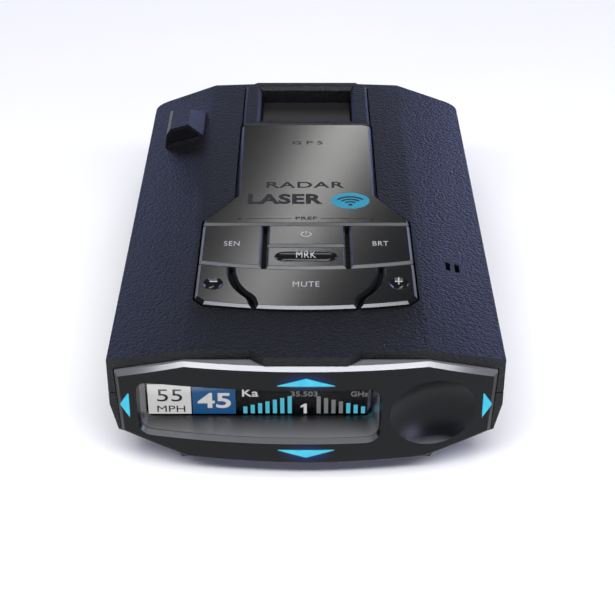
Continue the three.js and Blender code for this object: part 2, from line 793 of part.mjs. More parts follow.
function lowerHousing() {
  const below = box(-outside, outside, -2 * outside, 2 * outside, -1, seamHeight - clearance / 2);
  const shell = cut(hull(lowerPlan, 0), hull(lowerPlan, wall));
  const posts = screwPlaces.map(([x, y]) =>
    cylinderZ(x, y, postRadius, screwHeadLift, postMeeting(y)[0]),
  );
  const bores = screwPlaces.map(([x, y]) => cylinderZ(x, y, postBore, -1, postMeeting(y)[0] + 1, 16));
  const headSeats = screwPlaces.map(([x, y]) =>
    cylinderZ(x, y, screwHeadRadius + clearance, -1, screwHeadLift + screwHeadHeight + clearance, 20),
  );
  const seatBosses = screwPlaces.map(([x, y]) =>
    cylinderZ(x, y, postRadius + bossWall, screwHeadLift, screwHeadLift + 4),
  );
  const grille = Array.from({ length: grilleCount }, (_, i) => {
    const y = speakerY + (i - (grilleCount - 1) / 2) * grillePitch;
    const [length, width] = grilleSlot;
    return box(-length / 2, length / 2, y - width / 2, y + width / 2, -1, wall + 1);
  });
  const label = prismZ(rounded(labelOutline, labelRadius, 3), -1, labelRecess);
  return cut(
    join(shell, ...posts, ...seatBosses).intersect(hull(lowerPlan, 0)).intersect(below),
    bezelSeat,
    roadWindowCut,
    label,
    ...bores,
    ...headSeats,
    ...grille,
    ...portCuts(),
  );
}
add("bottom_case", lowerHousing(), "shell");
add(
  "rating_label",
  prismZ(
    rounded(inset(labelOutline, labelGap), labelRadius - labelGap, 3),
    labelLift,
    labelRecess - labelGap,
  ),
  "black",
);

// ---- front bezel with the display well, the thumb dish and the four arrows -------------------------
const faceSag = (x) => faceRadius - Math.sqrt(faceRadius ** 2 - x ** 2);
/** Everything at least the distance behind the curved face. */
function behindFace(distance) {
  const steps = 28;
  const arc = Array.from({ length: steps + 1 }, (_, i) => {
    const x = -halfWidth + (bodyWidth * i) / steps;
    return [x, faceY + distance + faceSag(x)];
  });
  return prismZ([...arc, [halfWidth, 0], [-halfWidth, 0]], -1, bodyHeight + 1);
}

const wellFront = rounded(rectangle(wellLeft, wellRight, wellFloor, wellRoof), wellRadius, 5);
const wellBack = rounded(
  rectangle(wellLeft + wellTaper, wellRight - wellTaper, wellFloor, wellRoof - wellRoofTaper),
  wellRadius / 2,
  5,
);
/** The display well as a solid, grown by the distance, from in front of the face to its back end. */
const wellSolid = (grow, backY) =>
  loftY(inset(wellFront, -grow), faceY - 1, inset(wellBack, -grow), backY);

const dishRadius = ((dishWidth / 2) ** 2 + dishDepth ** 2) / (2 * dishDepth);
const dishScale = dishHeight / dishWidth;
const dishLean = Math.asin(dishX / faceRadius); // of the face at the dish
const dishReach = dishRadius - dishDepth; // from the face out to the middle of the hollow's sphere
/** The sphere-like hollow of the thumb dish, grown by the distance. */
const dishSolid = (grow) =>
  ellipsoid(
    [
      dishX + dishReach * Math.sin(dishLean),
      faceY + faceSag(dishX) - dishReach * Math.cos(dishLean),
      dishZ,
    ],
    [dishRadius + grow, dishRadius + grow, dishRadius * dishScale + grow],
    72,
  );

const arrowUpBase = bezelTop - arrowUpMargin - arrowRise;
const arrowDownBase = bezelBottom + arrowDownMargin + arrowRise;
const arrowSideZ = (wellFloor + wellRoof) / 2;
const arrowSideX = bezelWidth / 2 - sideArrowMargin - sideArrowRise;
const arrows = {
  up: [[-arrowBase / 2, arrowUpBase], [arrowBase / 2, arrowUpBase], [0, arrowUpBase + arrowRise]],
  down: [[-arrowBase / 2, arrowDownBase], [0, arrowDownBase - arrowRise], [arrowBase / 2, arrowDownBase]],
  left: [
    [-arrowSideX, arrowSideZ + sideArrowBase / 2],
    [-arrowSideX - sideArrowRise, arrowSideZ],
    [-arrowSideX, arrowSideZ - sideArrowBase / 2],
  ],
  right: [
    [arrowSideX, arrowSideZ - sideArrowBase / 2],
    [arrowSideX + sideArrowRise, arrowSideZ],
    [arrowSideX, arrowSideZ + sideArrowBase / 2],
  ],
};

/** The slot for an arrow light: its outline grown by the clearance, with the long tips trimmed. */
function arrowSlot(outline) {
  const us = outline.map(([x]) => x);
  const vs = outline.map(([, z]) => z);
  const span = box(
    Math.min(...us) - arrowClearance,
    Math.max(...us) + arrowClearance,
    faceY - 1,
    wellBackY + 1,
    Math.min(...vs) - arrowClearance,
    Math.max(...vs) + arrowClearance,
  );
  return prismY(inset(outline, -arrowClearance), faceY - 1, wellBackY + 1).intersect(span);
}

function bezel() {
  const block = wasm.Manifold.hull([
    prismY(inset(bezelOutline, bezelChamfer), faceY - 1, wellBackY).intersect(behindFace(0)),
    prismY(bezelOutline, faceY - 1, wellBackY).intersect(behindFace(bezelChamfer)),
  ]);
  const hollow = prismY(inset(bezelOutline, bezelWall), faceY - 1, wellBackY + 1).intersect(
    behindFace(faceWall),
  );
  const dishBack = dishSolid(1.2).intersect(block);
  return cut(
    join(cut(block, hollow), dishBack),
    dishSolid(0),
    wellSolid(0, wellBackY),
    ...Object.values(arrows).map(arrowSlot),
  );
}
add("front_bezel", bezel(), "bezel");

add(
  "display_well",
  cut(wellSolid(linerWall, wellBackY), wellSolid(0, wellBackY + 0.01))
    .intersect(behindFace(faceWall + clearance))
    .intersect(prismY(inset(bezelOutline, bezelWall + clearance), faceY, wellBackY)),
  "liner",
);
const lensSpan = [wellLeft + wellTaper - linerWall, wellRight - wellTaper + linerWall];
const lensHeight = [wellFloor - linerWall, wellRoof - wellRoofTaper + linerWall];
add(
  "display_lens",
  box(...lensSpan, lensY, lensY + lensThickness, ...lensHeight).intersect(room),
  "glass",
);
const moduleY = lensY + lensThickness + clearance;
add(
  "display_module",
  box(...lensSpan, moduleY, moduleY + moduleThickness, ...lensHeight).intersect(room),
  "black",
);
const ledBoardY = moduleY + moduleThickness + clearance;
const ledBoardTop = trayUnderside - 0.6;
add(
  "display_board",
  box(
    -halfWidth,
    halfWidth,
    ledBoardY,
    ledBoardY + boardThickness,
    bezelBottom + 0.8,
    ledBoardTop,
  ).intersect(room),
  "board",
);

const guideEnd = ledBoardY - clearance - ledThickness - clearance;
const guideRoom = join(prismY(bezelOutline, faceY - 1, wellBackY), room).intersect(behindFace(0));
for (const [side, outline] of Object.entries(arrows)) {
  add(`arrow_light_${side}`, prismY(outline, faceY - 1, guideEnd).intersect(guideRoom), "light");
  const centreX = outline.reduce((sum, [x]) => sum + x, 0) / outline.length;
  const centreZ = outline.reduce((sum, [, z]) => sum + z, 0) / outline.length;
  const upright = side === "left" || side === "right";
  const [sizeX, sizeZ] = upright ? [ledSize[1], ledSize[0]] : ledSize;
  add(
    `arrow_led_${side}`,
    box(
      centreX - sizeX / 2,
      centreX + sizeX / 2,
      guideEnd + clearance,
      guideEnd + clearance + ledThickness,
      centreZ - sizeZ / 2,
      centreZ + sizeZ / 2,
    ),
    "white",
  );
}

// ---- top panel, mount frame and magnet -------------------------------------------------------------
add(
  "top_panel",
  taperedPrism(panelOutline, recessFloor + clearance, keyTop - keyChamfer, keyTop, keyChamfer),
  "panel",
);
add(
  "mount_frame",
  cut(
    taperedPrism(frameOutline, pocketTray + clearance, keyTop - frameChamfer, keyTop, frameChamfer),
    taperedPrism(pocketOutline, pocketTray, keyTop - pocketChamfer, keyTop + 1, -pocketChamfer - 1),
  ),
  "shell",
);
add(
  "mount_plate",
  prismZ(inset(pocketOutline, clearance), pocketTray + clearance, pocketFloor),
  "steel",
);
const magnetTop = pocketTray - pocketFloorWall - clearance;
const pocketMiddle = (pocketFront + pocketRear) / 2;
add(
  "mount_magnet",
  box(
    -magnetSize[0] / 2,
    magnetSize[0] / 2,
    pocketMiddle - magnetSize[1] / 2,
    pocketMiddle + magnetSize[1] / 2,
    magnetTop - magnetSize[2],
    magnetTop,
  ),
  "steel",
);

// ---- keys, each on its own switch ------------------------------------------------------------------
const dimple = (x) =>
  ellipsoid([x, dimpleY, keyTop], [dimpleWidth / 2, dimpleLength / 2, dimpleDepth], 24);
const pillY = (rowOneFront + powerFront) / 2 - pillSetback;
const pillHalf = pillLength / 2 - pillWidth / 2;
const grooveSteps = 8;
const grooveSection = Array.from({ length: grooveSteps * 2 }, (_, i) => {
  const angle = (Math.PI * i) / grooveSteps;
  return [pillY + (pillWidth / 2) * Math.cos(angle), keyTop + pillDepth * Math.sin(angle)];
});
const groove = join(
  prismX(grooveSection, -pillHalf, pillHalf),
  ellipsoid([-pillHalf, pillY, keyTop], [pillWidth / 2, pillWidth / 2, pillDepth], 16),
  ellipsoid([pillHalf, pillY, keyTop], [pillWidth / 2, pillWidth / 2, pillDepth], 16),
);
const hollows = { volume_down: dimple(-dimpleX), volume_up: dimple(dimpleX), mark: groove };
for (const [key, outline] of Object.entries(keyOutlines)) {
  const block = taperedPrism(outline, keyUnderside, keyTop - keyChamfer, keyTop, keyChamfer);
  const cap = hollows[key] ? cut(block, hollows[key]) : block;
  const [x, y] = keyPlaces[key];
  add(`${key}_key`, join(cap, cylinderZ(x, y, stemRadius, stemBottom, keyUnderside + 0.2, 16)), "key");
  add(`${key}_plunger`, cylinderZ(x, y, plungerRadius, switchTop - 1.3, plungerTop, 12), "black");
  const half = switchSize / 2;
  add(
    `${key}_switch`,
    cut(
      box(x - half, x + half, y - half, y + half, boardTop + clearance, switchTop),
      cylinderZ(x, y, plungerRadius + 0.15, switchTop - 2, switchTop + 1, 12),
    ),
    "steel",
  );
}

// ---- laser windows and receivers -------------------------------------------------------------------
const hoodGlassY = hoodFront + windowInset;
add(
  "rear_laser_window",
  prismY(inset(hoodWindowOutline, windowFit), hoodGlassY, hoodGlassY + windowThickness),
  "glass",
);
add(
  "rear_laser_receiver",
  prismY(
    inset(hoodWindowOutline, hoodRim),
    hoodGlassY + windowThickness + clearance,
    hoodFront + hoodTopLength - 2,
  ),
  "black",
);
const roadInner = rearY - wall - rearBow;
add(
  "road_laser_window",
  join(
    box(
      -roadWindowHalf + clearance,
      roadWindowHalf - clearance,
      roadInner - 1,
      rearY - wall / 2,
      roadWindowBase + clearance,
      roadWindowTop - clearance,
    ),
    box(
      -roadWindowHalf - roadWindowFlange,
      roadWindowHalf + roadWindowFlange,
      roadInner - clearance - roadWindowPlate,
      roadInner - clearance,
      roadWindowBase - roadWindowFlange,
      roadWindowTop + roadWindowFlange,
    ),
  ),
  "glass",
);
const roadGlassInner = roadInner - clearance - roadWindowPlate - clearance;
add(
  "road_laser_receiver",
  box(
    -receiverSize[0] / 2,
    receiverSize[0] / 2,
    roadGlassInner - receiverSize[1],
    roadGlassInner,
    hornTop + clearance,
    roadWindowTop,
  ),
  "black",
);

// ---- boards, antennas and sockets ------------------------------------------------------------------
const mainFront = ledBoardY + boardThickness + 0.6;
add(
  "main_board",
  cut(
    box(-mainHalf, mainHalf, mainFront, mainRear, boardUnderside, boardTop),
    ...screwPlaces
      .filter(([, y]) => y < mainRear)
      .map(([x, y]) => cylinderZ(x, y, screwRadius + 0.4, boardUnderside - 1, boardTop + 1, 16)),
  ),
  "board",
);

/** A horn antenna casting that opens along Y, from its throat to its mouth. */
function horn(throatY, mouthY, mouth, throat, z) {
  const outline = ([w, h], grow) =>
    rectangle(-w / 2 - grow, w / 2 + grow, z - h / 2 - grow, z + h / 2 + grow);
  const forward = Math.sign(mouthY - throatY);
  const between = (grow, startY, endY) =>
    startY < endY
      ? loftY(outline(throat, grow), startY, outline(mouth, grow), endY)
      : loftY(outline(mouth, grow), endY, outline(throat, grow), startY);
  return cut(
    between(hornWall, throatY - hornBack * forward, mouthY),
    between(0, throatY, mouthY + 0.01 * forward),
  );
}
const roadHornZ = hornTop - hornWall - roadHornMouth[1] / 2;
add(
  "road_horn",
  horn(roadHornThroatY, roadGlassInner - 0.2, roadHornMouth, hornThroat, roadHornZ),
  "metal",
);
const rearHornZ = boardUnderside - 1.6 - hornWall - rearHornMouth[1] / 2;
add("rear_horn", horn(rearHornThroatY, mainFront + 2, rearHornMouth, hornThroat, rearHornZ), "metal");
add(
  "rf_shield",
  box(
    -shieldSize[0] / 2,
    shieldSize[0] / 2,
    shieldY - shieldSize[1] / 2,
    shieldY + shieldSize[1] / 2,
    boardUnderside - clearance - shieldSize[2],
    boardUnderside - clearance,
  ),
  "metal",
);
const gpsY = pocketFront - gpsSetback;
add(
  "gps_antenna",
  box(
    -gpsSize / 2,
    gpsSize / 2,
    gpsY - gpsSize / 2,
    gpsY + gpsSize / 2,
    boardTop + clearance,
    trayUnderside - clearance,
  ),
  "ceramic",
);
const speakerFloor = wall + clearance;
add(
  "speaker",
  join(
    cylinderZ(0, speakerY, speakerRadius, speakerFloor, speakerFloor + speakerRim, 32),
    cylinderZ(0, speakerY, speakerRadius * 0.6, speakerFloor + 1, speakerFloor + speakerHeight, 24),
  ),
  "black",
);
const jackFront = halfWidth - wall - clearance;
add(
  "power_jack",
  cut(
    box(
      jackFront - jackDepth - jackWall,
      jackFront,
      jackSpanY[0] - jackWall,
      jackSpanY[1] + jackWall,
      jackMouth[0] - jackWall,
      jackTop,
    ),
    box(jackFront - jackDepth, jackFront + 1, ...jackSpanY, ...jackMouth),
  ).intersect(room),
  "black",
);
add(
  "usb_port",
  cut(
    box(-jackFront, -jackFront + usbDepth, ...usbSpanY, usbTop - usbOpening[1], usbTop),
    box(
      -jackFront - 1,
      -jackFront + usbDepth - 1,
      usbSpanY[0] + usbWall,
      usbSpanY[1] - usbWall,
      usbTop - usbOpening[1] + usbWall,
      usbTop - usbWall,
    ),
  ),
  "metal",
);
add(
  "earphone_jack",
  cut(
    box(
      -jackFront,
      -jackFront + earLength,
      earY - earRadius - earSideWall,
      earY + earRadius + earSideWall,
      earZ - earRadius - earWall,
      earZ + earRadius + earWall,
    ),
    cylinderX(earY, earZ, earRadius, -jackFront - 1, -jackFront + earLength - 1.5, 20),
  ),
  "black",
);
const sensorX = (slotPairX[0] + slotPairX[1]) / 2;
add(
  "light_sensor",
  box(
    sensorX - sensorSize / 2 - sensorOffset,
    sensorX + sensorSize / 2 - sensorOffset,
    slotY - sensorSize / 2,
    slotY + sensorSize / 2,
    boardTop + clearance,
    boardTop + clearance + 1,
  ),
  "black",
);
const ribbonThickness = 0.3;
const ribbonY = ledBoardY + boardThickness + clearance;
add(
  "display_ribbon",
  prismX(
    [
      [ribbonY, boardUnderside - 5],
      [ribbonY + ribbonThickness, boardUnderside - 5],
      [ribbonY + 1.1, boardUnderside - 2 * ribbonThickness],
      [ribbonY + 4.7, boardUnderside - 2 * ribbonThickness],
      [ribbonY + 4.7, boardUnderside - ribbonThickness],
      [ribbonY + 0.8, boardUnderside - ribbonThickness],
    ],
    ribbonX - ribbonWidth / 2,
    ribbonX + ribbonWidth / 2,
  ),
  "ceramic",
);

// ---- case screws -----------------------------------------------------------------------------------
for (const [x, y, place] of screwPlaces) {
  const headTop = screwHeadLift + screwHeadHeight;
  const drive = cylinderZ(x, y, driveSize, -1, screwHeadLift + driveSize, 6);
  const tip = postMeeting(y)[1] - clearance;
  const shank = cylinderZ(x, y, screwRadius - 0.1, headTop - 0.2, tip + 2.6, 12);
  const head = cylinderZ(x, y, screwHeadRadius, screwHeadLift, headTop, 20);
  add(`case_screw_${place}`, cut(join(head, shank), drive), "steel");
}

export default detector;
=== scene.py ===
"""A windshield radar detector, dressed for a studio picture in the order it is put together."""

import math

import bmesh
import bpy
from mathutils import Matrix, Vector


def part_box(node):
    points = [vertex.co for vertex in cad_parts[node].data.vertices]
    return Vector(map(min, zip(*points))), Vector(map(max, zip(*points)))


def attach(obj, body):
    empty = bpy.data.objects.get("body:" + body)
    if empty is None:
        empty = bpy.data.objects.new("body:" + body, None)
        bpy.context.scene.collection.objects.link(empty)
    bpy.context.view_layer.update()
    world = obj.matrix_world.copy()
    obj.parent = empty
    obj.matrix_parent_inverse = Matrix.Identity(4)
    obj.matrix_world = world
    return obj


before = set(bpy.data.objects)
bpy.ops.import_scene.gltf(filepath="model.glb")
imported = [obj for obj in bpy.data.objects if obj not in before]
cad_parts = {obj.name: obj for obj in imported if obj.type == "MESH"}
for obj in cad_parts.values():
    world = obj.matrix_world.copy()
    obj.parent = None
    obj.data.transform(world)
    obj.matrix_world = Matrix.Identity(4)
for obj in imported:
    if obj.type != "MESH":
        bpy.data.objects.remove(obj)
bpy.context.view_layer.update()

# ---- Camera -----------------------------------------------------------------------------------------------
# A long lens close to the detector looks down on it from the driver's side, square on to the display end.
lens_data = bpy.data.cameras.new("product_lens")
lens_data.lens = 86.6
lens_data.sensor_width = 36
camera = bpy.data.objects.new("product_camera", lens_data)
bpy.context.scene.collection.objects.link(camera)
camera.location = (0.0003, -0.3074, 0.1955)
look_down = 32.4
camera.rotation_euler = (math.radians(90 - look_down), 0, 0)
bpy.context.scene.camera = camera
bpy.context.scene.view_settings.view_transform = "Standard"

# ---- Lower housing ----------------------------------------------------------------------------------------
# The tray of the two-part housing: injection-moulded ABS with polycarbonate, black with a little blue in it.
# The tool's etched leather grain leaves soft pebbles that break up its satin shine.
MM = 0.001


def linear(hex_colour):
    """An sRGB hex colour as the linear colour that a shader takes."""
    parts = [int(hex_colour[i : i + 2], 16) / 255 for i in (1, 3, 5)]
    return [p / 12.92 if p <= 0.04045 else ((p + 0.055) / 1.055) ** 2.4 for p in parts] + [1.0]


def add_node(tree, kind, links=None, **settings):
    """One node with its settings, its sockets' values and the links into them."""
    node = tree.nodes.new(kind)
    for name, value in settings.items():
        setattr(node, name, value)
    for socket, value in (links or {}).items():
        if isinstance(value, bpy.types.NodeSocket):
            tree.links.new(value, node.inputs[socket])
        else:
            node.inputs[socket].default_value = value
    return node


def open_finish(name):
    """A new material's node tree, and the coordinates of the piece it is on, in metres."""
    material = bpy.data.materials.new(name)
    material.use_nodes = True
    tree = material.node_tree
    tree.nodes.clear()
    return material, tree, add_node(tree, "ShaderNodeTexCoord").outputs["Object"]


def close_finish(tree, sockets):
    """Ends a material in a Principled shader with these sockets."""
    shader = add_node(tree, "ShaderNodeBsdfPrincipled", sockets)
    add_node(tree, "ShaderNodeOutputMaterial", {"Surface": shader.outputs["BSDF"]})


def speckle(tree, place, spot_mm, detail=3.0):
    """Soft noise from 0 to 1 in spots of this size."""
    return add_node(
        tree, "ShaderNodeTexNoise", {"Vector": place, "Scale": 1 / (spot_mm * MM), "Detail": detail}
    ).outputs["Fac"]


def tinted(tree, factor, dark, light, low=0.3, high=0.7):
    """A colour between two shades, by a factor from low to high."""
    ramp = add_node(tree, "ShaderNodeValToRGB", {"Fac": factor})
    ramp.color_ramp.elements[0].position = low
    ramp.color_ramp.elements[0].color = linear(dark)
    ramp.color_ramp.elements[1].position = high
    ramp.color_ramp.elements[1].color = linear(light)
    return ramp.outputs["Color"]


def ranged(tree, factor, low, high):
    """A factor of 0 to 1 moved into this range."""
    return add_node(
        tree, "ShaderNodeMapRange", {"Value": factor, "To Min": low, "To Max": high}
    ).outputs["Result"]


def raised(tree, height, relief_mm, strength):
    """Bump from a height of 0 to 1 that stands this far proud."""
    return add_node(
        tree, "ShaderNodeBump", {"Height": height, "Strength": strength, "Distance": relief_mm * MM}
    ).outputs["Normal"]


def leather_grained_abs():
    """Etched ABS: pebbles with creases between them and fine grit on top, which scatter the shine.
    The pebbles are drawn large, at 0.65 mm, so that they show."""
    material, tree, place = open_finish("leather_grained_moulded_abs")
    pebble_mm = 0.65
    wander = add_node(tree, "ShaderNodeTexNoise", {"Vector": place, "Scale": 1 / (1.3 * MM), "Detail": 2.0})
    bent = add_node(
        tree,
        "ShaderNodeVectorMath",
        {0: wander.outputs["Color"], 1: (0.8 * MM, 0.8 * MM, 0.8 * MM), 2: place},
        operation="MULTIPLY_ADD",
    )
    pebbles = add_node(
        tree,
        "ShaderNodeTexVoronoi",
        {"Vector": bent.outputs["Vector"], "Scale": 1 / (pebble_mm * MM)},
        feature="SMOOTH_F1",
    )
    grit = speckle(tree, place, 0.3, 4.0)
    height = add_node(
        tree, "ShaderNodeMath", {0: pebbles.outputs["Distance"], 1: -1.2, 2: grit}, operation="MULTIPLY_ADD"
    ).outputs["Value"]
    close_finish(
        tree,
        {
            # The creases between pebbles are painted a little darker: painted shade.
            "Base Color": tinted(tree, pebbles.outputs["Distance"], "#101115", "#07080a", 0.15, 0.6),
            "Roughness": ranged(tree, grit, 0.32, 0.44),
            "IOR": 1.53,
            "Specular IOR Level": 0.24,
            "Normal": raised(tree, height, 0.15, 1.0),
        },
    )
    return material


def smooth_by_angle(angle):
    """A modifier's node group that shades smooth all but the edges over an angle."""
    group = bpy.data.node_groups.new("smooth_but_for_corners", "GeometryNodeTree")
    group.interface.new_socket("Geometry", in_out="INPUT", socket_type="NodeSocketGeometry")
    group.interface.new_socket("Geometry", in_out="OUTPUT", socket_type="NodeSocketGeometry")
    start = add_node(group, "NodeGroupInput")
    every_face = add_node(
        group,
        "GeometryNodeSetShadeSmooth",
        {"Geometry": start.outputs[0], "Shade Smooth": True},
        domain="FACE",
    )
    turn = add_node(group, "GeometryNodeInputMeshEdgeAngle")
    corner = add_node(
        group,
        "FunctionNodeCompare",
        {"A": turn.outputs[0], "B": math.radians(angle)},
        operation="GREATER_THAN",
    )
    crisp = add_node(
        group,
        "GeometryNodeSetShadeSmooth",
        {"Geometry": every_face.outputs[0], "Selection": corner.outputs[0], "Shade Smooth": False},
        domain="EDGE",
    )
    add_node(group, "NodeGroupOutput", {0: crisp.outputs[0]})
    return group


soft_shading = smooth_by_angle(25)
weld_mm, flat_degrees, bevel_degrees = 0.002, 0.6, 28


def dress(node, material, edge_mm=0.0):
    """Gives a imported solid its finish, and eases its edges as its mould or tool leaves them."""
    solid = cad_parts[node]
    solid.data.materials.clear()
    solid.data.materials.append(material)
    weld = solid.modifiers.new("welded_corners", "WELD")
    weld.merge_threshold = weld_mm * MM
    flat = solid.modifiers.new("whole_faces", "DECIMATE")
    flat.decimate_type = "DISSOLVE"
    flat.angle_limit = math.radians(flat_degrees)
    solid.modifiers.new("smooth_curves", "NODES").node_group = soft_shading
    if edge_mm:
        eased = solid.modifiers.new("eased_edges", "BEVEL")
        eased.width = edge_mm * MM
        eased.segments = 2
        eased.limit_method = "ANGLE"
        eased.angle_limit = math.radians(bevel_degrees)
        eased.harden_normals = True
        solid.modifiers.new("even_shine", "WEIGHTED_NORMAL").keep_sharp = True
    return solid


housing_plastic = leather_grained_abs()
dress("bottom_case", housing_plastic, 0.3)

# ---- Rating label -----------------------------------------------------------------------------------------
# A polyester film label stuck in a shallow pocket under the housing. It is blank, with a satin face whose
# coating is slightly uneven.


def polyester_film():
    """Dark label film: even and satin, with the faint drift of a rolled coating."""
    material, tree, place = open_finish("satin_polyester_film")
    coat = speckle(tree, place, 2.5)
    close_finish(
        tree,
        {
            "Base Color": tinted(tree, coat, "#2a2b2d", "#303134"),
            "Roughness": ranged(tree, coat, 0.35, 0.45),
            "IOR": 1.6,
        },
    )
    return material


dress("rating_label", polyester_film(), 0.05)

# ---- Speaker ----------------------------------------------------------------------------------------------
# A small moving-coil speaker on the floor of the tray, behind five slots. Acoustic cloth covers the slots
# from inside; its weave is a plain one of black polyester thread.


def set_mesh(name, vertices, faces, material, body):
    """One new piece from vertices in millimetres, riding on a body."""
    mesh = bpy.data.meshes.new(name)
    mesh.from_pydata([[c * MM for c in v] for v in vertices], [], faces)
    mesh.materials.append(material)
    mesh.update()
    made = bpy.data.objects.new(name, mesh)
    bpy.context.scene.collection.objects.link(made)
    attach(made, body)
    return made


def moulded_black():
    """Plain black ABS from a blasted tool, for small fittings: dull and slightly uneven."""
    material, tree, place = open_finish("blasted_black_abs")
    blast = speckle(tree, place, 0.25, 4.0)
    close_finish(
        tree,
        {
            "Base Color": tinted(tree, blast, "#101113", "#17181a"),
            "Roughness": ranged(tree, blast, 0.45, 0.6),
            "IOR": 1.53,
            "Normal": raised(tree, blast, 0.02, 0.3),
        },
    )
    return material


def woven_cloth():
    """Acoustic cloth in plain weave, dull with a slight fibre sheen."""
    material, tree, place = open_finish("woven_acoustic_polyester")
    thread_mm = 0.35
    turns = 2 * math.pi / (thread_mm * MM)
    axes = add_node(tree, "ShaderNodeSeparateXYZ", {"Vector": place}).outputs
    waves = [
        add_node(
            tree,
            "ShaderNodeMath",
            {0: add_node(tree, "ShaderNodeMath", {0: axes[a], 1: turns}, operation="MULTIPLY").outputs[0]},
            operation="SINE",
        ).outputs[0]
        for a in ("X", "Y")
    ]
    weave = add_node(tree, "ShaderNodeMath", {0: waves[0], 1: waves[1]}, operation="MULTIPLY").outputs[0]
    factor = ranged(tree, weave, 0.5, 1.0)
    close_finish(
        tree,
        {
            "Base Color": tinted(tree, factor, "#0a0a0b", "#1c1c1e", 0.2, 0.8),
            "Roughness": 0.85,
            "Sheen Weight": 0.3,
            "Normal": raised(tree, factor, 0.08, 0.8),
        },
    )
    return material


fitting_plastic = moulded_black()
dress("speaker", fitting_plastic, 0.15)
speaker_low, speaker_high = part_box("speaker")
cloth_half_x, cloth_half_y, cloth_thickness, cloth_steps = 11.0, 8.8, 0.12, 12
cloth_sag = 0.05
cloth_y = (speaker_low.y + speaker_high.y) / 2 / MM
cloth_z = speaker_low.z / MM - 0.2
cloth_points = []
cloth_faces = []
for side in (0, 1):
    for j in range(cloth_steps + 1):
        for i in range(cloth_steps + 1):
            u, v = 2 * i / cloth_steps - 1, 2 * j / cloth_steps - 1
            sag = cloth_sag * (1 - u * u) * (1 - v * v)
            height = cloth_z + side * cloth_thickness - sag
            cloth_points.append((u * cloth_half_x, cloth_y + v * cloth_half_y, height))
row = cloth_steps + 1
layer = row * row
for j in range(cloth_steps):
    for i in range(cloth_steps):
        a = j * row + i
        cloth_faces.append((a, a + row, a + row + 1, a + 1))
        cloth_faces.append((layer + a, layer + a + 1, layer + a + row + 1, layer + a + row))
for i in range(cloth_steps):
    far = cloth_steps * row
    cloth_faces.append((i, i + 1, layer + i + 1, layer + i))
    cloth_faces.append((far + i + 1, far + i, layer + far + i, layer + far + i + 1))
    cloth_faces.append(((i + 1) * row, i * row, layer + i * row, layer + (i + 1) * row))
    near, after = i * row + cloth_steps, (i + 1) * row + cloth_steps
    cloth_faces.append((near, after, layer + after, layer + near))
set_mesh("speaker_cloth", cloth_points, cloth_faces, woven_cloth(), "housing")

# ---- Power, data and earphone sockets ---------------------------------------------------------------------
# A six-way modular jack in the right side, and a small data port and an earphone jack in the left. The jacks
# are black plastic, the modular one with gold-plated contacts; the port's shell is stamped, tin-plated steel.


def box_solid(low, high):
    """The eight corners and six outward faces of a straight bar."""
    (x0, y0, z0), (x1, y1, z1) = low, high
    corners = [(x, y, z) for z in (z0, z1) for y in (y0, y1) for x in (x0, x1)]
    return corners, [(0, 2, 3, 1), (4, 5, 7, 6), (0, 1, 5, 4), (2, 6, 7, 3), (0, 4, 6, 2), (1, 3, 7, 5)]


def bars(name, spans, material, body):
    """Several straight bars as one piece, from their lowest and highest corners."""
    vertices, faces = [], []
    for low, high in spans:
        corners, sides = box_solid(low, high)
        faces += [tuple(len(vertices) + k for k in side) for side in sides]
        vertices += corners
    return set_mesh(name, vertices, faces, material, body)


def gold_plate():
    """Gold over nickel on spring bronze: bright and yellow, with rolling lines along the strip."""
    material, tree, place = open_finish("gold_plated_bronze")
    line = speckle(tree, place, 0.2, 2.0)
    close_finish(
        tree,
        {
            "Base Color": tinted(tree, line, "#c8963c", "#e8c26a"),
            "Metallic": 1.0,
            "Roughness": ranged(tree, line, 0.18, 0.3),
        },
    )
    return material


def tin_plate():
    """Tin-plated steel sheet: pale grey metal with dull, cloudy grain."""
    material, tree, place = open_finish("tin_plated_steel")
    cloud = speckle(tree, place, 1.2, 5.0)
    close_finish(
        tree,
        {
            "Base Color": tinted(tree, cloud, "#9c9d9e", "#bcbdbe"),
            "Metallic": 1.0,
            "Roughness": ranged(tree, cloud, 0.28, 0.45),
        },
    )
    return material


gold = gold_plate()
tinned_steel = tin_plate()
dress("power_jack", fitting_plastic, 0.12)
jack_low, jack_high = (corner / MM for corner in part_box("power_jack"))
contact_pitch, contact_width, contact_count = 1.27, 0.45, 6
jack_middle = (jack_low.y + jack_high.y) / 2
contact_roof = jack_high.z - 1.0
bars(
    "power_jack_contacts",
    [
        (
            (jack_low.x + 1.2, jack_middle + k * contact_pitch - contact_width / 2, contact_roof - 0.9),
            (jack_high.x - 1.8, jack_middle + k * contact_pitch + contact_width / 2, contact_roof - 0.65),
        )
        for k in [n - (contact_count - 1) / 2 for n in range(contact_count)]
    ],
    gold,
    "housing",
)
dress("usb_port", tinned_steel, 0.06)
port_low, port_high = (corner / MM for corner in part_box("usb_port"))
port_middle = (port_low + port_high) / 2
tongue_half, pin_half, pin_pitch = 1.9, 0.15, 0.7
bars(
    "data_port_tongue",
    [
        (
            (port_low.x + 0.9, port_middle.y - tongue_half, port_middle.z + 0.05),
            (port_high.x - 1.2, port_middle.y + tongue_half, port_middle.z + 0.55),
        ),
        *(
            (
                (port_low.x + 1.1, port_middle.y + k * pin_pitch - pin_half, port_middle.z - 0.1),
                (port_high.x - 1.5, port_middle.y + k * pin_pitch + pin_half, port_middle.z + 0.05),
            )
            for k in range(-2, 3)
        ),
    ],
    fitting_plastic,
    "housing",
)
dress("earphone_jack", fitting_plastic, 0.12)

# ---- Main board and what is soldered to it ----------------------------------------------------------------
# Fibreglass board with green solder mask over etched copper. It carries the shield can, the satellite
# antenna, the light sensor and the key switches. One cast horn antenna lies under it, one beyond its end.


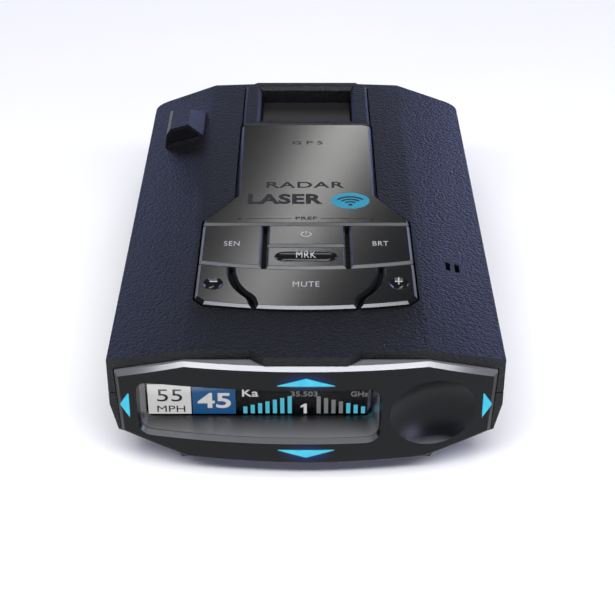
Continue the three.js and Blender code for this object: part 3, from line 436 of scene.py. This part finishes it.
def solder_mask():
    """Green solder mask: semi-gloss, with the paler lines of the copper tracks under it."""
    material, tree, place = open_finish("green_solder_mask")
    tracks = add_node(
        tree,
        "ShaderNodeTexBrick",
        {
            "Vector": place,
            "Color1": linear("#0c4a2a"),
            "Color2": linear("#0f5631"),
            "Mortar": linear("#1c7a48"),
            "Scale": 1 / (6 * MM),
            "Mortar Size": 0.03,
        },
    )
    close_finish(
        tree,
        {
            "Base Color": tracks.outputs["Color"],
            "Roughness": ranged(tree, speckle(tree, place, 3), 0.25, 0.4),
            "IOR": 1.55,
            "Normal": raised(tree, tracks.outputs["Fac"], 0.03, 0.5),
        },
    )
    return material


def as_cast_zinc():
    """Die-cast zinc: pale grey metal with a fine, frosty skin and darker flow marks."""
    material, tree, place = open_finish("die_cast_zinc")
    frost = speckle(tree, place, 0.5, 5.0)
    close_finish(
        tree,
        {
            "Base Color": tinted(tree, speckle(tree, place, 6), "#7f8184", "#a2a4a7"),
            "Metallic": 1.0,
            "Roughness": ranged(tree, frost, 0.38, 0.55),
            "Normal": raised(tree, frost, 0.03, 0.4),
        },
    )
    return material


def fired_ceramic():
    """Fired ceramic: matt, chalky and faintly speckled."""
    material, tree, place = open_finish("fired_ceramic")
    grain = speckle(tree, place, 0.6, 5.0)
    close_finish(
        tree,
        {
            "Base Color": tinted(tree, grain, "#c9bb98", "#ddd1b4"),
            "Roughness": ranged(tree, grain, 0.5, 0.7),
        },
    )
    return material


def polyimide():
    """Polyimide film: clear amber over copper, glossy."""
    material, tree, place = open_finish("amber_polyimide")
    close_finish(
        tree,
        {
            "Base Color": tinted(tree, speckle(tree, place, 1.0), "#a8611a", "#c07a2c"),
            "Roughness": 0.25,
            "IOR": 1.7,
            "Coat Weight": 0.5,
        },
    )
    return material


board_mask = solder_mask()
zinc = as_cast_zinc()
dress("main_board", board_mask, 0.05)
dress("rf_shield", tinned_steel, 0.2)
dress("road_horn", zinc, 0.2)
dress("rear_horn", zinc, 0.2)
dress("gps_antenna", fired_ceramic(), 0.2)
dress("display_ribbon", polyimide())
for small_part in ("light_sensor", "road_laser_receiver", "rear_laser_receiver"):
    dress(small_part, fitting_plastic, 0.1)
keys = ("mute", "volume_down", "volume_up", "sensitivity", "brightness", "power", "mark")
for key in keys:
    dress(f"{key}_switch", tinned_steel, 0.1)
    dress(f"{key}_plunger", fitting_plastic, 0.1)

# ---- Display ----------------------------------------------------------------------------------------------
# A colour display on its own board, which also holds the four arrow lights. Its glass is flat and black
# where unlit; the picture shows a speed, a limit, a signal band and rising and falling strength bars.


def display_glass():
    """Black display glass: deep, nearly colourless and very smooth."""
    material, tree, place = open_finish("black_display_glass")
    close_finish(
        tree,
        {
            "Base Color": tinted(tree, speckle(tree, place, 8), "#020203", "#050507"),
            "Roughness": 0.12,
            "IOR": 1.5,
        },
    )
    return material


def lit_picture(name, colour, glow):
    """Lit cells of the display: each glows evenly, with the dark grid between them.
    The cells are drawn large, 0.22 mm apart, so that they show."""
    material, tree, place = open_finish(name)
    cell_mm = 0.22
    cell_turns = 2 * math.pi / (cell_mm * MM)
    axes = add_node(tree, "ShaderNodeSeparateXYZ", {"Vector": place}).outputs
    ridges = []
    for axis in ("X", "Z"):
        angle = add_node(tree, "ShaderNodeMath", {0: axes[axis], 1: cell_turns}, operation="MULTIPLY")
        ridges.append(add_node(tree, "ShaderNodeMath", {0: angle.outputs[0]}, operation="COSINE").outputs[0])
    cell = add_node(tree, "ShaderNodeMath", {0: ridges[0], 1: ridges[1]}, operation="MAXIMUM").outputs[0]
    lit = add_node(
        tree,
        "ShaderNodeMapRange",
        {"Value": cell, "From Min": 0.8, "From Max": 1.0, "To Min": 1.0, "To Max": 0.72},
    ).outputs["Result"]
    shade = add_node(
        tree, "ShaderNodeVectorMath", {0: linear(colour)[:3], "Scale": lit}, operation="SCALE"
    ).outputs["Vector"]
    close_finish(
        tree,
        {
            "Base Color": linear("#0a0a0a"),
            "Roughness": 0.3,
            "Emission Color": shade,
            "Emission Strength": glow,
        },
    )
    return material


def inlay(name, outlines, origin, material, body, slot, up=(0, 1, 0), thickness=0.04, ground=None):
    """Flat printed or lit shapes, cut from outlines in millimetres that read along +X and up, as one piece.
    ground lifts each point to the surface that it lies on."""
    right, up = Vector((1, 0, 0)), Vector(up)
    out = right.cross(up)
    vertices, faces = [], []
    for outline in outlines:
        first, count = len(vertices), len(outline)
        for side in (-0.5, 0.5):
            for u, v in outline:
                lift = side * thickness + (ground(u, v) if ground else 0)
                vertices.append(Vector(origin) + right * u + up * v + out * lift)
        faces.append([first + k for k in reversed(range(count))])
        faces.append([first + count + k for k in range(count)])
        for k in range(count):
            after = (k + 1) % count
            faces.append((first + k, first + after, first + count + after, first + count + k))
    return set_mesh(name, vertices, faces, material, body)


def lettering(name, words, width, height, origin, material, body, slot, up=(0, 1, 0), **style):
    """Words in a plain upright face that fill a width and a height in millimetres, centred on the origin."""
    thickness, ground = style.get("thickness", 0.04), style.get("ground")
    curve = bpy.data.curves.new(name, "FONT")
    curve.body = words
    curve.extrude = 0.01
    curve.offset = style.get("weight", 0.0)
    curve.space_character = style.get("spacing", 1.0)
    curve.resolution_u = 4
    drawn = bpy.data.objects.new(name + "_outline", curve)
    bpy.context.scene.collection.objects.link(drawn)
    bpy.context.view_layer.update()
    letters = bmesh.new()
    letters.from_mesh(drawn.to_mesh())
    if ground:
        for level in range(1, 8):
            everything = [*letters.verts, *letters.edges, *letters.faces]
            bmesh.ops.bisect_plane(letters, geom=everything, plane_co=(0, level * 0.1, 0), plane_no=(0, 1, 0))
    letters.verts.index_update()
    corners = [v.co.copy() for v in letters.verts]
    faces = [tuple(v.index for v in face.verts) for face in letters.faces]
    letters.free()
    drawn.to_mesh_clear()
    bpy.data.objects.remove(drawn)
    low = Vector([min(c[a] for c in corners) for a in range(3)])
    high = Vector([max(c[a] for c in corners) for a in range(3)])
    right, up = Vector((1, 0, 0)), Vector(up)
    out = right.cross(up)
    vertices = []
    for c in corners:
        u = ((c.x - low.x) / (high.x - low.x) - 0.5) * width
        v = ((c.y - low.y) / (high.y - low.y) - 0.5) * height
        lift = (0.5 if c.z > 0 else -0.5) * thickness + (ground(u, v) if ground else 0)
        vertices.append(Vector(origin) + right * u + up * v + out * lift)
    return set_mesh(name, vertices, faces, material, body)


def oblong(x0, x1, z0, z1):
    """The outline of an upright rectangle."""
    return [(x0, z0), (x1, z0), (x1, z1), (x0, z1)]


dress("display_board", board_mask, 0.05)
dress("display_module", display_glass(), 0.1)
picture_white = lit_picture("lit_white_cells", "#dcdcdc", 0.9)
picture_blue = lit_picture("lit_blue_cells", "#1b5588", 0.9)
picture_cyan = lit_picture("lit_cyan_cells", "#54bcd4", 1.0)
picture_grey = lit_picture("lit_grey_cells", "#808080", 0.9)
picture_dark = lit_picture("unlit_cells", "#040404", 0.4)
module_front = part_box("display_module")[0].y / MM
picture_y = module_front - 0.05
text_y = picture_y - 0.05
picture_foot = 9.15
picture_head = 16.7
upright = (0, 0, 1)
in_display = {"body": "housing", "slot": "display", "up": upright}
speed_sign = (-33.2, -24.15)
limit_sign = (-23.85, -14.8)
for name, sign, cells in (("speed", speed_sign, picture_white), ("limit", limit_sign, picture_blue)):
    ground_outline = oblong(*sign, picture_foot, picture_head)
    inlay(f"{name}_ground", [ground_outline], (0, picture_y, 0), cells, **in_display)
lettering("speed_digits", "55", 5.3, 3.1, (-28.6, text_y, 13.9), picture_dark, **in_display)
lettering("speed_unit", "MPH", 5.9, 1.6, (-28.4, text_y, 10.45), picture_dark, **in_display)
lettering("limit_digits", "45", 7.0, 3.9, (-19.3, text_y, 12.6), picture_white, weight=0.02, **in_display)
lettering("band_name", "Ka", 3.4, 1.9, (-11.7, picture_y, 14.5), picture_white, weight=0.015, **in_display)
for name, words, width, height, x in (
    ("band_frequency", "35.503", 5.6, 1.25, -0.4),
    ("band_unit", "GHz", 3.6, 1.3, 11.2),
):
    lettering(name, words, width, height, (x, picture_y, 14.25), picture_grey, weight=0.01, **in_display)
one = [(-0.1, 0), (0.55, 0), (0.55, 2.5), (0.1, 2.5), (-0.75, 1.9), (-0.75, 1.45), (-0.1, 1.75)]
one_foot = (-0.4, picture_y, picture_foot + 0.1)
inlay("signal_count", [one], one_foot, picture_white, **in_display)
bar_width, bar_pitch, bar_base, bar_growth = 0.86, 1.56, 1.75, 0.44


def strength_bars(first_x, heights):
    """Outlines of a row of strength bars that stand on the picture's foot."""
    return [
        oblong(x - bar_width / 2, x + bar_width / 2, picture_foot + 0.1, picture_foot + 0.1 + height)
        for x, height in ((first_x + k * bar_pitch, height) for k, height in enumerate(heights))
    ]


rising = [bar_base + bar_growth * k for k in range(7)]
falling = rising[::-1]
rising_x, falling_x, grey_count = -12.8, 2.65, 4
for name, first_x, heights, cells in (
    ("rising_bars", rising_x, rising, picture_cyan),
    ("falling_grey_bars", falling_x, falling[:grey_count], picture_grey),
    ("falling_bars", falling_x + grey_count * bar_pitch, falling[grey_count:], picture_cyan),
):
    inlay(name, strength_bars(first_x, heights), (0, picture_y, 0), cells, **in_display)


def clear_acrylic():
    """Clear cast acrylic, polished on both faces: it adds only a faint gloss over the display."""
    material, tree, place = open_finish("clear_polished_acrylic")
    close_finish(
        tree,
        {
            "Base Color": linear("#fafafa"),
            "Roughness": ranged(tree, speckle(tree, place, 5), 0.0, 0.03),
            "IOR": 1.49,
            "Transmission Weight": 1.0,
        },
    )
    return material


dress("display_lens", clear_acrylic())


def silicone_rubber():
    """Black silicone rubber: soft, dull and faintly dusty."""
    material, tree, place = open_finish("black_silicone_rubber")
    bloom = speckle(tree, place, 0.8)
    close_finish(
        tree,
        {
            "Base Color": tinted(tree, bloom, "#040404", "#070708"),
            "Roughness": ranged(tree, bloom, 0.75, 0.9),
            "IOR": 1.43,
        },
    )
    return material


rubber = silicone_rubber()
gasket_outline = oblong(-34.0, 14.2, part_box("display_well")[1].y / MM + 0.1, module_front + 2.2)
gasket_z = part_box("display_module")[0].z / MM - 0.15
inlay("display_gasket", [gasket_outline], (0, 0, gasket_z), rubber, "housing", "display", thickness=0.2)


def polished_abs():
    """Grey ABS from a polished tool: glossy enough to mirror the display, with a blur from its haze. Its grey
    is painted deeper towards the display, a painted shade where the bezel's roof lets less light in."""
    material, tree, place = open_finish("polished_moulded_abs")
    low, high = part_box("display_well")
    depth = add_node(tree, "ShaderNodeSeparateXYZ", {"Vector": place}).outputs["Y"]
    painted_shade_toward_display = add_node(
        tree, "ShaderNodeMapRange", {"Value": depth, "From Min": low.y, "From Max": high.y}
    ).outputs["Result"]
    close_finish(
        tree,
        {
            # Painted shade: the grey darkens towards the display, where less light reaches.
            "Base Color": tinted(tree, painted_shade_toward_display, "#727273", "#202021", 0.0, 1.0),
            "Roughness": 0.25,
            "IOR": 1.56,
        },
    )
    return material


dress("display_well", polished_abs(), 0.15)

# ---- Arrow lights -----------------------------------------------------------------------------------------
# Four light guides of translucent acrylic, flush with the bezel: one for each direction of a threat. White
# LEDs stand behind their far ends.


def translucent_cyan():
    """Lit cyan acrylic: its glow a little cloudy, with a smooth, glossy face."""
    material, tree, place = open_finish("lit_translucent_acrylic")
    cloud = speckle(tree, place, 2.2, 1.0)
    close_finish(
        tree,
        {
            "Base Color": linear("#0b5468"),
            "Roughness": 0.2,
            "IOR": 1.49,
            "Emission Color": tinted(tree, cloud, "#2fb6d2", "#4ccce2"),
            "Emission Strength": 0.85,
        },
    )
    return material


def white_package():
    """White LED resin, dull, with a yellowish phosphor cast."""
    material, tree, place = open_finish("white_led_resin")
    close_finish(
        tree, {"Base Color": tinted(tree, speckle(tree, place, 0.6), "#dedbc8", "#f0eee2"), "Roughness": 0.5}
    )
    return material


arrow_acrylic = translucent_cyan()
led_resin = white_package()
for side in ("up", "down", "left", "right"):
    dress(f"arrow_light_{side}", arrow_acrylic)
    dress(f"arrow_led_{side}", led_resin, 0.1)

# ---- Front bezel ------------------------------------------------------------------------------------------
# One curved moulding in smooth satin ABS round the display, with a chamfer, an oval dish for the thumb and
# slots for the arrows. Its upward faces are painted lighter, its chamfer carries a painted glint, and a
# painted blue halo glows round the up and down arrows. It closes the front of both housing halves.


def satin_abs(arrows):
    """Smooth ABS from a fine-blasted tool: an even satin with the faintest orange peel. Faces that lean
    upward are made smoother and painted lighter, a painted light from above, and those that aren't level
    get a metallic glint, a painted highlight. Round the arrows named the bezel glows blue by itself: a
    painted halo of their light."""
    material, tree, place = open_finish("satin_moulded_abs")
    peel = speckle(tree, place, 1.6)
    blast = speckle(tree, place, 0.15, 2.0)
    halo = None
    for arrow in arrows:
        low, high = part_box(arrow)
        middle = Vector(((low.x + high.x) / 2, low.y, (low.z + high.z) / 2))
        reach = Vector((5.6 * MM, 6 * MM, 2.3 * MM))
        away = add_node(
            tree, "ShaderNodeVectorMath", {0: place, 1: middle}, operation="SUBTRACT"
        ).outputs["Vector"]
        scaled = add_node(
            tree, "ShaderNodeVectorMath", {0: away, 1: reach}, operation="DIVIDE"
        ).outputs["Vector"]
        distance = add_node(
            tree, "ShaderNodeVectorMath", {0: scaled}, operation="LENGTH"
        ).outputs["Value"]
        fade = add_node(
            tree,
            "ShaderNodeMapRange",
            {"Value": distance, "From Min": 0.35, "From Max": 1.15, "To Min": 0.15, "To Max": 0.0},
            interpolation_type="SMOOTHSTEP",
        ).outputs["Result"]
        halo = fade if halo is None else add_node(tree, "ShaderNodeMath", {0: halo, 1: fade}).outputs[0]
    normal = add_node(tree, "ShaderNodeTexCoord").outputs["Normal"]
    faces = add_node(tree, "ShaderNodeSeparateXYZ", {"Vector": normal})
    # Faces that lean upward: made smoother, and painted lighter below as a painted light from above.
    polished = add_node(
        tree,
        "ShaderNodeMapRange",
        {"Value": faces.outputs["Z"], "From Min": 0.5, "From Max": 0.66},
    ).outputs["Result"]
    level = add_node(
        tree,
        "ShaderNodeMapRange",
        {"Value": faces.outputs["Z"], "From Min": 0.85, "From Max": 0.95},
    ).outputs["Result"]
    # Sloped faces such as the chamfer turn slightly metallic: a painted glint.
    glint = add_node(
        tree, "ShaderNodeMath", {0: polished, 1: level}, operation="SUBTRACT", use_clamp=True
    ).outputs["Value"]
    metal = add_node(tree, "ShaderNodeMath", {0: glint, 1: 0.3}, operation="MULTIPLY").outputs["Value"]
    satin = ranged(tree, peel, 0.27, 0.34)
    close_finish(
        tree,
        {
            "Base Color": tinted(tree, polished, "#0a0b0d", "#646567", 0.0, 1.0),
            "Metallic": metal,
            "Roughness": add_node(
                tree, "ShaderNodeMix", {"Factor": polished, "A": satin, "B": 0.13}
            ).outputs["Result"],
            "IOR": 1.53,
            "Specular IOR Level": 0.16,
            "Normal": raised(tree, blast, 0.015, 0.08),
            # The bezel emits the blue halo round the arrows itself: a painted glow of their light.
            "Emission Color": linear("#1450c8"),
            "Emission Strength": halo,
        },
    )
    return material


dress("front_bezel", satin_abs(["arrow_light_up", "arrow_light_down"]), 0.25)

# ---- Upper housing ----------------------------------------------------------------------------------------
# The lid of the housing, in the same grained plastic, with the hood for the rear laser sensor moulded on its
# left flank. Four screws from below hold it to the tray.
dress("top_case", housing_plastic, 0.3)


def smoked_acrylic():
    """Infrared-pass acrylic: nearly black to the eye, polished."""
    material, tree, place = open_finish("smoked_infrared_acrylic")
    close_finish(
        tree,
        {
            "Base Color": tinted(tree, speckle(tree, place, 4), "#050405", "#0a0709"),
            "Roughness": 0.06,
            "IOR": 1.49,
        },
    )
    return material


def blackened_steel():
    """Steel with black zinc plating: dark, slightly brown metal with a fine satin grain."""
    material, tree, place = open_finish("black_zinc_plated_steel")
    grain = speckle(tree, place, 0.3, 4.0)
    close_finish(
        tree,
        {
            "Base Color": tinted(tree, grain, "#2b2a2a", "#3d3c3b"),
            "Metallic": 0.9,
            "Roughness": ranged(tree, grain, 0.3, 0.45),
        },
    )
    return material


dark_window = smoked_acrylic()
plated_steel = blackened_steel()
dress("rear_laser_window", dark_window, 0.08)
dress("road_laser_window", dark_window, 0.15)
for corner_name in ("front_left", "front_right", "rear_left", "rear_right"):
    dress(f"case_screw_{corner_name}", plated_steel, 0.12)

# ---- Windshield mount seat --------------------------------------------------------------------------------
# A surround in the housing's grained plastic, with a thin steel plate as its floor and a magnet below it. The
# foot of the windshield mount drops in and is held by the magnet.


def coated_steel():
    """Steel plate with black powder coat: matt, with a fine pebbled skin."""
    material, tree, place = open_finish("black_powder_coated_steel")
    pebble = speckle(tree, place, 0.35, 3.0)
    close_finish(
        tree,
        {
            "Base Color": tinted(tree, pebble, "#111112", "#1a1a1c"),
            "Roughness": ranged(tree, pebble, 0.4, 0.55),
            "Normal": raised(tree, pebble, 0.03, 0.35),
        },
    )
    return material


dress("mount_frame", housing_plastic, 0.12)
dress("mount_plate", coated_steel(), 0.1)
dress("mount_magnet", tinned_steel, 0.3)

# ---- Top panel --------------------------------------------------------------------------------------------
# A plate of ABS lacquered in dark metallic grey, set into the lid behind the keys. Its edges are chamfered,
# and its markings are pad-printed in black, with one oval badge in cyan.


def metallic_lacquer():
    """Dark grey lacquer with aluminium flake: a soft metal sheen, uneven where the flake settled."""
    material, tree, place = open_finish("satin_metallic_lacquer")
    flake = speckle(tree, place, 0.18, 1.0)
    close_finish(
        tree,
        {
            "Base Color": tinted(tree, flake, "#38393b", "#3b3c3e"),
            "Metallic": 0.85,
            "Roughness": ranged(tree, speckle(tree, place, 6.0), 0.15, 0.165),
        },
    )
    return material


def pad_print(name, dark, light):
    """Pad-printing ink: opaque and dull, a little uneven at its edges."""
    material, tree, place = open_finish(name)
    film = speckle(tree, place, 0.4)
    close_finish(
        tree, {"Base Color": tinted(tree, film, dark, light), "Roughness": ranged(tree, film, 0.4, 0.55)}
    )
    return material


lacquer = metallic_lacquer()
black_ink = pad_print("black_pad_print", "#08080a", "#0e0e10")
grey_ink = pad_print("light_grey_pad_print", "#9c9ea0", "#aaacae")
cyan_ink = pad_print("cyan_pad_print", "#1a7e98", "#1f8aa6")
dress("top_panel", lacquer, 0.07)
panel_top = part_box("top_panel")[1].z / MM
print_z = panel_top + 0.005
on_panel = {"body": "housing", "slot": "panel_paint"}
for name, words, width, height, (x, y), weight, spacing in (
    ("antenna_mark", "GPS", 7.6, 1.9, (0.3, 28.6), 0.0, 1.5),
    ("kind_mark", "RADAR", 18.5, 3.0, (-0.2, 5.9), 0.015, 1.1),
    ("kind_mark_large", "LASER", 17.5, 5.0, (-4.9, -1.2), 0.04, 1.05),
    ("menu_mark", "PREF", 4.9, 1.35, (0, -10.5), 0.02, 1.1),
):
    style = {"weight": weight, "spacing": spacing}
    lettering(name, words, width, height, (x, y, print_z), black_ink, **style, **on_panel)


def oval(centre_x, centre_y, radius_x, radius_y, steps=32):
    """The outline of an oval."""
    turns = [2 * math.pi * k / steps for k in range(steps)]
    return [(centre_x + radius_x * math.cos(t), centre_y + radius_y * math.sin(t)) for t in turns]


def arc_band(centre_x, centre_y, inner, outer, start, end, steps=12):
    """A flat band bent along an arc, between two angles in degrees."""
    angles = [math.radians(start + (end - start) * k / steps) for k in range(steps + 1)]
    outside = [(centre_x + outer * math.cos(a), centre_y + outer * math.sin(a)) for a in angles]
    inside = [(centre_x + inner * math.cos(a), centre_y + inner * math.sin(a)) for a in reversed(angles)]
    return outside + inside


badge_x, badge_y = 10.3, -2.1
inlay("badge_ground", [oval(badge_x, badge_y, 4.5, 3.9)], (0, 0, print_z), cyan_ink, **on_panel)
wave_y = badge_y - 2.0
waves = [arc_band(badge_x, wave_y, r, r + 0.55, 40, 140) for r in (1.2, 2.4, 3.6)]
waves_and_dot = [oval(badge_x, wave_y, 0.5, 0.5, 16), *waves]
inlay("badge_waves", waves_and_dot, (0, 0, print_z + 0.04), black_ink, **on_panel)
menu_rules = [oblong(3.4, 13.8, -10.7, -10.58), oblong(-13.8, -3.4, -10.7, -10.58)]
menu_dots = [oval(x, -10.9, 0.42, 0.42, 16) for x in (-15.3, 15.3)]
inlay("menu_rules", menu_rules + menu_dots, (0, 0, print_z), black_ink, **on_panel)

# ---- Keys -------------------------------------------------------------------------------------------------
# Seven caps in the same lacquer, chamfered all round, over a black silicone mat that closes the gaps between
# them; the mat is also a painted shade, standing in for the shade that falls in those gaps. Their markings
# are printed in light grey; the mark key has a groove and the volume keys a dimple.


key_boxes = {key: [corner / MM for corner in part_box(f"{key}_key")] for key in keys}
mat_corner_x, mat_corner_y = 2, 1.2
mat_side = key_boxes["volume_up"][1].x
mat_front = key_boxes["volume_up"][0].y + mat_corner_y
mat_rear = key_boxes["power"][1].y
mat_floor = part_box("top_panel")[0].z / MM - 0.26
mat_outline = [
    (-mat_side, mat_front),
    (-mat_side + mat_corner_x, mat_front - mat_corner_y),
    (mat_side - mat_corner_x, mat_front - mat_corner_y),
    (mat_side, mat_front),
    (mat_side, mat_rear),
    (-mat_side, mat_rear),
]
mat_place = (0, 0, mat_floor + 0.09)
# The black mat is partly a keypad part and partly painted shade: it blacks out the gaps between the keys.
inlay("keypad_mat_and_gap_shade", [mat_outline], mat_place, rubber, "housing", "switch_plunger", thickness=0.12)
for key in keys:
    dress(f"{key}_key", lacquer, 0.07)
key_print_z = key_boxes["mute"][1].z + 0.005
key_words = {"sensitivity": ("SEN", 3.45, 2.0), "brightness": ("BRT", 3.5, 2.0), "mute": ("MUTE", 5.7, 2.15)}
key_word_y = {"sensitivity": -22.1, "brightness": -22.1, "mute": -39.4}
for key, (words, width, height) in key_words.items():
    low, high = key_boxes[key]
    middle_x = (low.x + high.x) / 2
    lettering(
        f"{key}_word", words, width, height, (middle_x, key_word_y[key], key_print_z), grey_ink,
        f"{key}_button", "key_paint", spacing=1.1,
    )
power_y = -17.9
power_ring = arc_band(0, power_y, 0.95, 1.22, -245, 65, 24)
power_stroke = oblong(-0.16, 0.16, power_y + 0.3, power_y + 1.3)
inlay("power_symbol", [power_ring, power_stroke], (0, 0, key_print_z), grey_ink, "power_button", "key_paint")
groove_y, groove_half, groove_depth = -27.85, 2.1, 0.8


def groove_floor(_, v):
    """How far the mark key's groove lies below the key's face."""
    across = min(abs(v + mark_word_y - groove_y) / groove_half, 1.0)
    return -groove_depth * math.sqrt(1 - across * across)


mark_word_y = -26.25
lettering(
    "mark_word", "MRK", 4.4, 1.7, (0, mark_word_y, key_print_z), grey_ink, "mark_button", "key_paint",
    spacing=1.1, ground=groove_floor,
)
dimple_x, dimple_y, dimple_reach_x, dimple_reach_y, dimple_depth = 19.8, -39.2, 2.1, 2.45, 0.8


def dimple_floor(u, v):
    """How far a volume key's dimple lies below the key's face."""
    across = min((u / dimple_reach_x) ** 2 + ((v + sign_lift) / dimple_reach_y) ** 2, 1.0)
    return -dimple_depth * math.sqrt(1 - across)


sign_lift = 1.7
stroke_half, stroke_width = 0.8, 0.13
level_stroke = [(-stroke_half, -stroke_width), (0, -stroke_width), (stroke_half, -stroke_width)]
level_stroke += [(stroke_half, stroke_width), (0, stroke_width), (-stroke_half, stroke_width)]
upright_stroke = [(-v, u) for u, v in level_stroke]
for key, x, strokes in (
    ("volume_down", -dimple_x, [level_stroke]),
    ("volume_up", dimple_x, [level_stroke, upright_stroke]),
):
    inlay(
        f"{key}_sign", strokes, (x, dimple_y + sign_lift, key_print_z + 0.02), grey_ink,
        f"{key}_button", "key_paint", ground=dimple_floor,
    )

# ---- Studio -----------------------------------------------------------------------------------------------
# Pale paper under a broad overhead light. One softbox above the camera picks out the chamfers, and a strip
# high behind gives the lacquer its gradient. Cool light tints the flanks: a band low behind, a box behind
# each shoulder and one low on each side in front.
floor_half = 2.5
floor_mesh = bpy.data.meshes.new("studio_floor")
floor_corners = [(x, y, 0) for x, y in oblong(-floor_half, floor_half, -floor_half, floor_half)]
floor_mesh.from_pydata(floor_corners, [], [(0, 1, 2, 3)])
floor = bpy.data.objects.new("studio_floor", floor_mesh)
bpy.context.scene.collection.objects.link(floor)
paper, paper_tree, paper_place = open_finish("matt_studio_paper")
paper_cloud = speckle(paper_tree, paper_place, 120)
paper_colour = tinted(paper_tree, paper_cloud, "#f4f4f4", "#f7f7f7")
close_finish(paper_tree, {"Base Color": paper_colour, "Roughness": 0.95})
floor_mesh.materials.append(paper)


def softbox(name, colour, watts, size, place, aim=(0, 0, 0.02), roll=0.0):
    """A rectangular softbox at a place in metres, aimed at a point."""
    data = bpy.data.lights.new(name, "AREA")
    data.shape = "RECTANGLE"
    data.size, data.size_y = size
    data.energy = watts
    data.color = linear(colour)[:3]
    light = bpy.data.objects.new(name, data)
    bpy.context.scene.collection.objects.link(light)
    light.location = place
    turn = (Vector(aim) - Vector(place)).to_track_quat("-Z", "Y").to_euler()
    turn.rotate_axis("Z", math.radians(roll))
    light.rotation_euler = turn


softbox("overhead_light", "#ffffff", 15, (1.6, 1.2), (0.0, -0.35, 1.4))
softbox("chamfer_light", "#fbfbff", 6.0, (1.4, 0.10), (0.0, -0.445, 0.59))
softbox("panel_strip", "#fffdf8", 0.36, (0.05, 0.42), (-0.008, 0.985, 0.58), roll=-28)
softbox("horizon_light", "#b4beff", 1.1, (1.5, 0.2), (0.0, 1.0, 0.08))
softbox("left_light", "#b0baff", 0.95, (0.32, 0.32), (-0.50, 0.84, 0.29))
softbox("right_light", "#b0baff", 1.7, (0.32, 0.32), (0.49, 0.86, 0.27))
softbox("left_front_light", "#d4d8ff", 1.6, (0.2, 0.24), (-0.46, -0.86, 0.16))
softbox("right_front_light", "#d4d8ff", 3.0, (0.3, 0.3), (0.66, -0.62, 0.16))
world = bpy.data.worlds.new("studio_air")
bpy.context.scene.world = world
world.use_nodes = True
world.node_tree.nodes["Background"].inputs["Color"].default_value = linear("#e8ebf2")
world.node_tree.nodes["Background"].inputs["Strength"].default_value = 0.06
